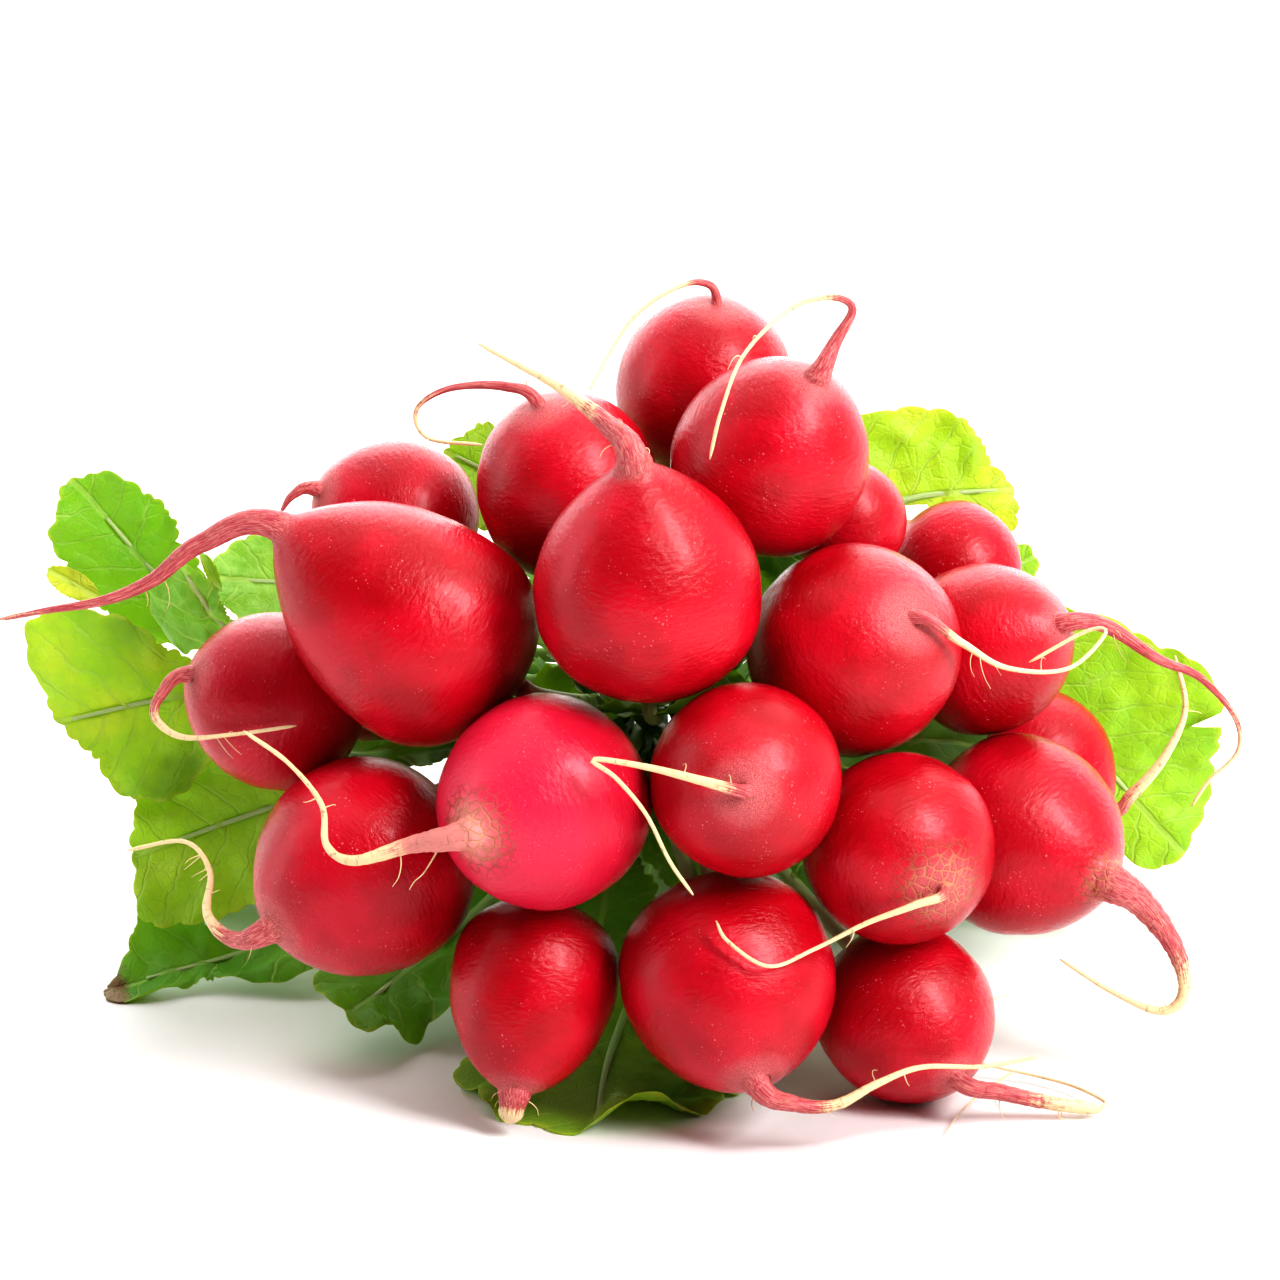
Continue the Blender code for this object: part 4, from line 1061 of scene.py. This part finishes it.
stalkShape = {
    "sides": 14, "rings": 150, "radius": 1.36, "foot": 0.45, "footRun": 5.0, "slimmer": 1.12,
    "slimPower": 0.7, "reach": 0.9, "sink": 0.55, "sinkRun": 8, "floorGap": 1.02,
    "groove": 0.30, "ridges": 5, "ridge": 0.05,
    "greenRun": 55, "green": 0.65, "palerTip": 0.5, "pinkRun": 7.0,
}


def stalkTube(shell, frames, bladeLength):
    shape = stalkShape
    sides = shape["sides"]
    run = np.linspace(frames["run"][0], bladeLength * shape["reach"], shape["rings"])
    path, along, face = [atRun(frames, run, key) for key in ("path", "along", "face")]
    fromCrown = run - run[0]
    onBlade = np.clip(run / bladeLength, 0, 1)
    radius = shape["radius"] + shape["foot"] * np.exp(-fromCrown / shape["footRun"])
    radius = np.where(run > 0, shape["radius"] - shape["slimmer"] * onBlade ** shape["slimPower"], radius)
    path = path - face * (np.clip(run / shape["sinkRun"], 0, 1) * radius * shape["sink"])[:, None]
    path[:, 2] = np.maximum(path[:, 2], radius * shape["floorGap"])
    angles = np.arange(sides) * math.tau / sides
    groove = 1 - shape["groove"] * np.maximum(np.cos(angles), 0)[None] ** 4
    groove = groove + shape["ridge"] * np.cos(angles * shape["ridges"])[None]
    points, angles = ringPoints(path, along, face, radius[:, None] * groove)
    green = np.clip(fromCrown / shape["greenRun"], 0, 1) * (shape["green"] - shape["palerTip"] * onBlade)
    pink = np.exp(-fromCrown / shape["pinkRun"])
    shell.add(points, tubeFaces(len(run), sides), 1, grain=grainOf(angles, radius[:, None] * groove, run),
              green=np.repeat(green, sides), pink=np.repeat(pink, sides))


# Small dark leaves low on a stalk, between its root and the tie: partly real inner leaves, partly painted
# shade, since their dark tint stands in for the shade in the gaps between the roots.
gapShadeLeafletShape = {
    "count": 3, "size": (5.5, 10.0), "from": (16, 50), "tint": (0.05, 0.3), "curl": (0.1, 0.5),
    "slim": 0.7, "aside": 0.8, "ruffle": 2.0, "lean": 1.0,
}


def gapShadeLeaflets(shell, frames, item, index):
    shape = gapShadeLeafletShape
    vary = random.Random(500 + index)
    start = float(frames["run"][0])
    for _ in range(shape["count"]):
        size = vary.uniform(*shape["size"])
        side = vary.choice((-1, 1))
        place = start + vary.uniform(*shape["from"])
        tint, curl = vary.uniform(*shape["tint"]), vary.uniform(*shape["curl"])
        # The dark tint is painted shade for the gaps between the roots.
        dark = dict(item, tint=tint, age=0.0, curl=curl, width=size * 2)
        bladeSheet(shell, frames, dark, index * 3 + 700, place, side * size * shape["aside"],
                   ovalReach(size * shape["slim"], size, size), shape["ruffle"], lean=side * shape["lean"])


looseShape = {"curl": 0.25, "ruffle": 1.2, "points": 30}


def looseBlade(shell, item, small, seed):
    # A loose tip or lobe of a leaf, or a dark blade that fills a gap between the roots with painted shade,
    # lying along its own short route.
    shape = looseShape
    route = smoothPath([np.array(p, float) for p in small["route"]], shape["points"])
    frames = leafFrames(route[:2], route[1:], item["face"])
    half = float(frames["run"][-1]) / 2
    look = dict(item, tint=small["tint"], age=small["age"], pale=0.0, dry=0.0, slits=(), rises=(),
                curl=shape["curl"], width=small["half"] * 2)
    bladeSheet(shell, frames, look, seed, half, 0.0, ovalReach(small["half"], half, half), shape["ruffle"])


# Pairs of lobes below the blade, each pair smaller and lower.
lobeShape = {
    "size": 5.5, "smaller": 1.4, "aside": 0.9, "slim": 0.75, "first": -2.0, "step": 9.0,
    "ruffle": 0.7, "lean": 1.1,
}


def leafPiece(index, item, line, bladePath):
    frames = leafFrames(line, bladePath, item["face"])
    length = float(frames["run"][-1])
    centre = item["middle"] * length
    shell = Shell("spot", "grain", "tint", "age", "dry", "ribs", "rim", "pale", "green", "pink")
    oval = ovalReach(item["width"] / 2, length - centre - 1.0, centre)
    reach = outlineReach(item["outline"]) if item["outline"] else oval
    bladeSheet(shell, frames, item, index + 1, centre, 0.0, reach, item["ruffle"])
    shape = lobeShape
    for pair in range(item["lobes"]):
        size, low = shape["size"] - shape["smaller"] * pair, shape["first"] - shape["step"] * pair
        lobe = ovalReach(size * shape["slim"], size, size)
        for side in (-1, 1):
            seed, aside = index * 4 + pair * 2 + side + 90, side * size * shape["aside"]
            bladeSheet(shell, frames, item, seed, low, aside, lobe, item["ruffle"] * shape["ruffle"],
                       lean=side * shape["lean"])
    for number, small in enumerate(item["smalls"]):
        looseBlade(shell, item, small, index * 7 + number + 300)
    # Dark leaflets: painted shade in the gaps between the roots.
    gapShadeLeaflets(shell, frames, item, index)
    stalkTube(shell, frames, length)
    return shell.piece(f"leaf{index + 1:02d}", [blade, stalk], "leaf_green", f"leaf_{index + 1:02d}")


for number, item in enumerate(leaves):
    leafPiece(number, item, stalkLines[number], bladeLines[number])
print("leaves made")


def tiePiece():
    look = tieLook
    ringRadius = (tieHigh[0] - tieLow[0]) * 500 - look["strand"]
    shell = Shell("grain")
    steps, sides, room = look["steps"], look["sides"], look["halfWidth"]
    turn = np.arange(steps) * math.tau / steps
    for k in range(look["turns"]):
        shift = (k - (look["turns"] - 1) / 2) * look["gap"]
        sway = sum(high * np.sin(turn * waves + k * phase) for high, waves, phase in look["sways"])
        slim = ringRadius - look["slack"] * (1 + np.sin(turn * 3 + k * 2.1))
        outward = np.stack([np.cos(turn), 0 * turn, np.sin(turn)], axis=1)
        path = tieCentre + outward * slim[:, None]
        path[:, 1] += np.clip(shift + sway, -room, room)
        along = np.roll(path, -1, axis=0) - np.roll(path, 1, axis=0)
        along = along / np.linalg.norm(along, axis=1)[:, None]
        radii = np.full((steps, sides), look["strand"])
        points, angles = ringPoints(path, along, outward, radii)
        grain = grainOf(angles, radii, turn * ringRadius)
        shell.add(points, tubeFaces(steps, sides, closed=True), grain=grain)
    return shell.piece("tie", [rubber], "tie", "tie_band")


tiePiece()
print("tie made")


# Floor, light and camera

studio = {
    "aim": (0.0, 20.65, 88.0), "distance": 0.7, "lowered": 15.0, "lens": 114.2, "sensor": 36.0,
    "floor": (0.83, 0.83, 0.83), "floorHalf": 6.0, "floorGrain": 60, "floorRoughness": 0.55,
    "front": 0.05, "around": 0.80, "overhead": 0.6, "behind": 1.9,  # how bright the room is on each side
    "openLevels": (-0.35, 0.25), "overheadLevels": (0.55, 0.95), "behindLevels": (0.40, 0.92),
}
# Soft boxes, in metres from the bunch's heart.
lamps = {
    "keyLight": {"place": (0.476, -0.476, 0.493), "size": (0.22, 0.42), "power": 6.4},
    "fillLight": {"place": (-0.833, -0.0425, 0.2125), "size": (0.25, 0.6), "power": 1.3},
    "topLight": {"place": (0.15, 0.72, 0.95), "size": (1.5, 0.45), "power": 3.4},
}


def placed(name, data):
    made = bpy.data.objects.new(name, data)
    bpy.context.scene.collection.objects.link(made)
    return made


def lookAt(made, place, aim):
    made.location = place
    made.rotation_euler = (aim - place).to_track_quat("-Z", "Y").to_euler()


def floorPiece():
    mesh = bpy.data.meshes.new("floor")
    half = studio["floorHalf"]
    corners = [(-half, -half, 0), (half, -half, 0), (half, half, 0), (-half, half, 0)]
    mesh.from_pydata(corners, [], [(0, 1, 2, 3)])
    p = Paint("floorPaper")
    grain = p.noise(p.place(), studio["floorGrain"], 4.0)
    rough = studio["floorRoughness"] + grain * 0.1
    mesh.materials.append(p.surface(p.principled((*studio["floor"], 1.0), rough, p.bump(grain, 0.05, 0.0002),
                                                 {"Specular IOR Level": 0.3})))
    placed("floor", mesh)


def softbox(name, lamp, heart):
    light = bpy.data.lights.new(name, "AREA")
    light.shape = "RECTANGLE"
    light.size, light.size_y = lamp["size"]
    light.energy = lamp["power"]
    lookAt(placed(name, light), heart + Vector(lamp["place"]), heart)


def roomLight():
    # A white room that is dim on the camera's side, so that the skin keeps its depth.
    world = bpy.data.worlds.new("studio")
    bpy.context.scene.world = world
    world.use_nodes = True
    p = Paint("studio", world.node_tree)
    _, backward, upward = p.parts(p.node("ShaderNodeTexCoord", out="Generated"))
    openSide = p.ease(backward + p.maths("ABSOLUTE", upward) * 0.25, *studio["openLevels"])
    strength = openSide * (studio["around"] - studio["front"]) + studio["front"]
    strength = strength + p.ease(upward, *studio["overheadLevels"]) * studio["overhead"]
    strength = strength + p.ease(backward, *studio["behindLevels"]) * studio["behind"]
    light = p.node("ShaderNodeBackground", {}, {"Color": (1.0, 1.0, 1.0, 1.0), "Strength": strength})
    p.node("ShaderNodeOutputWorld", {}, {"Surface": light})


def cameraPiece():
    aim = Vector(inFrame(studio["aim"]))
    lowered = math.radians(studio["lowered"])
    data = bpy.data.cameras.new("camera")
    data.sensor_width = studio["sensor"]
    data.lens = studio["lens"]
    camera = placed("camera", data)
    lookAt(camera, aim + Vector((0, -math.cos(lowered), math.sin(lowered))) * studio["distance"], aim)
    bpy.context.scene.camera = camera


floorPiece()
roomLight()
for name, lamp in lamps.items():
    softbox(name, lamp, (Vector(cadBox[0]) + Vector(cadBox[1])) / 2)
cameraPiece()
bpy.context.scene.view_settings.view_transform = "Standard"
bpy.context.scene.view_settings.look = "High Contrast"
print("studio ready")
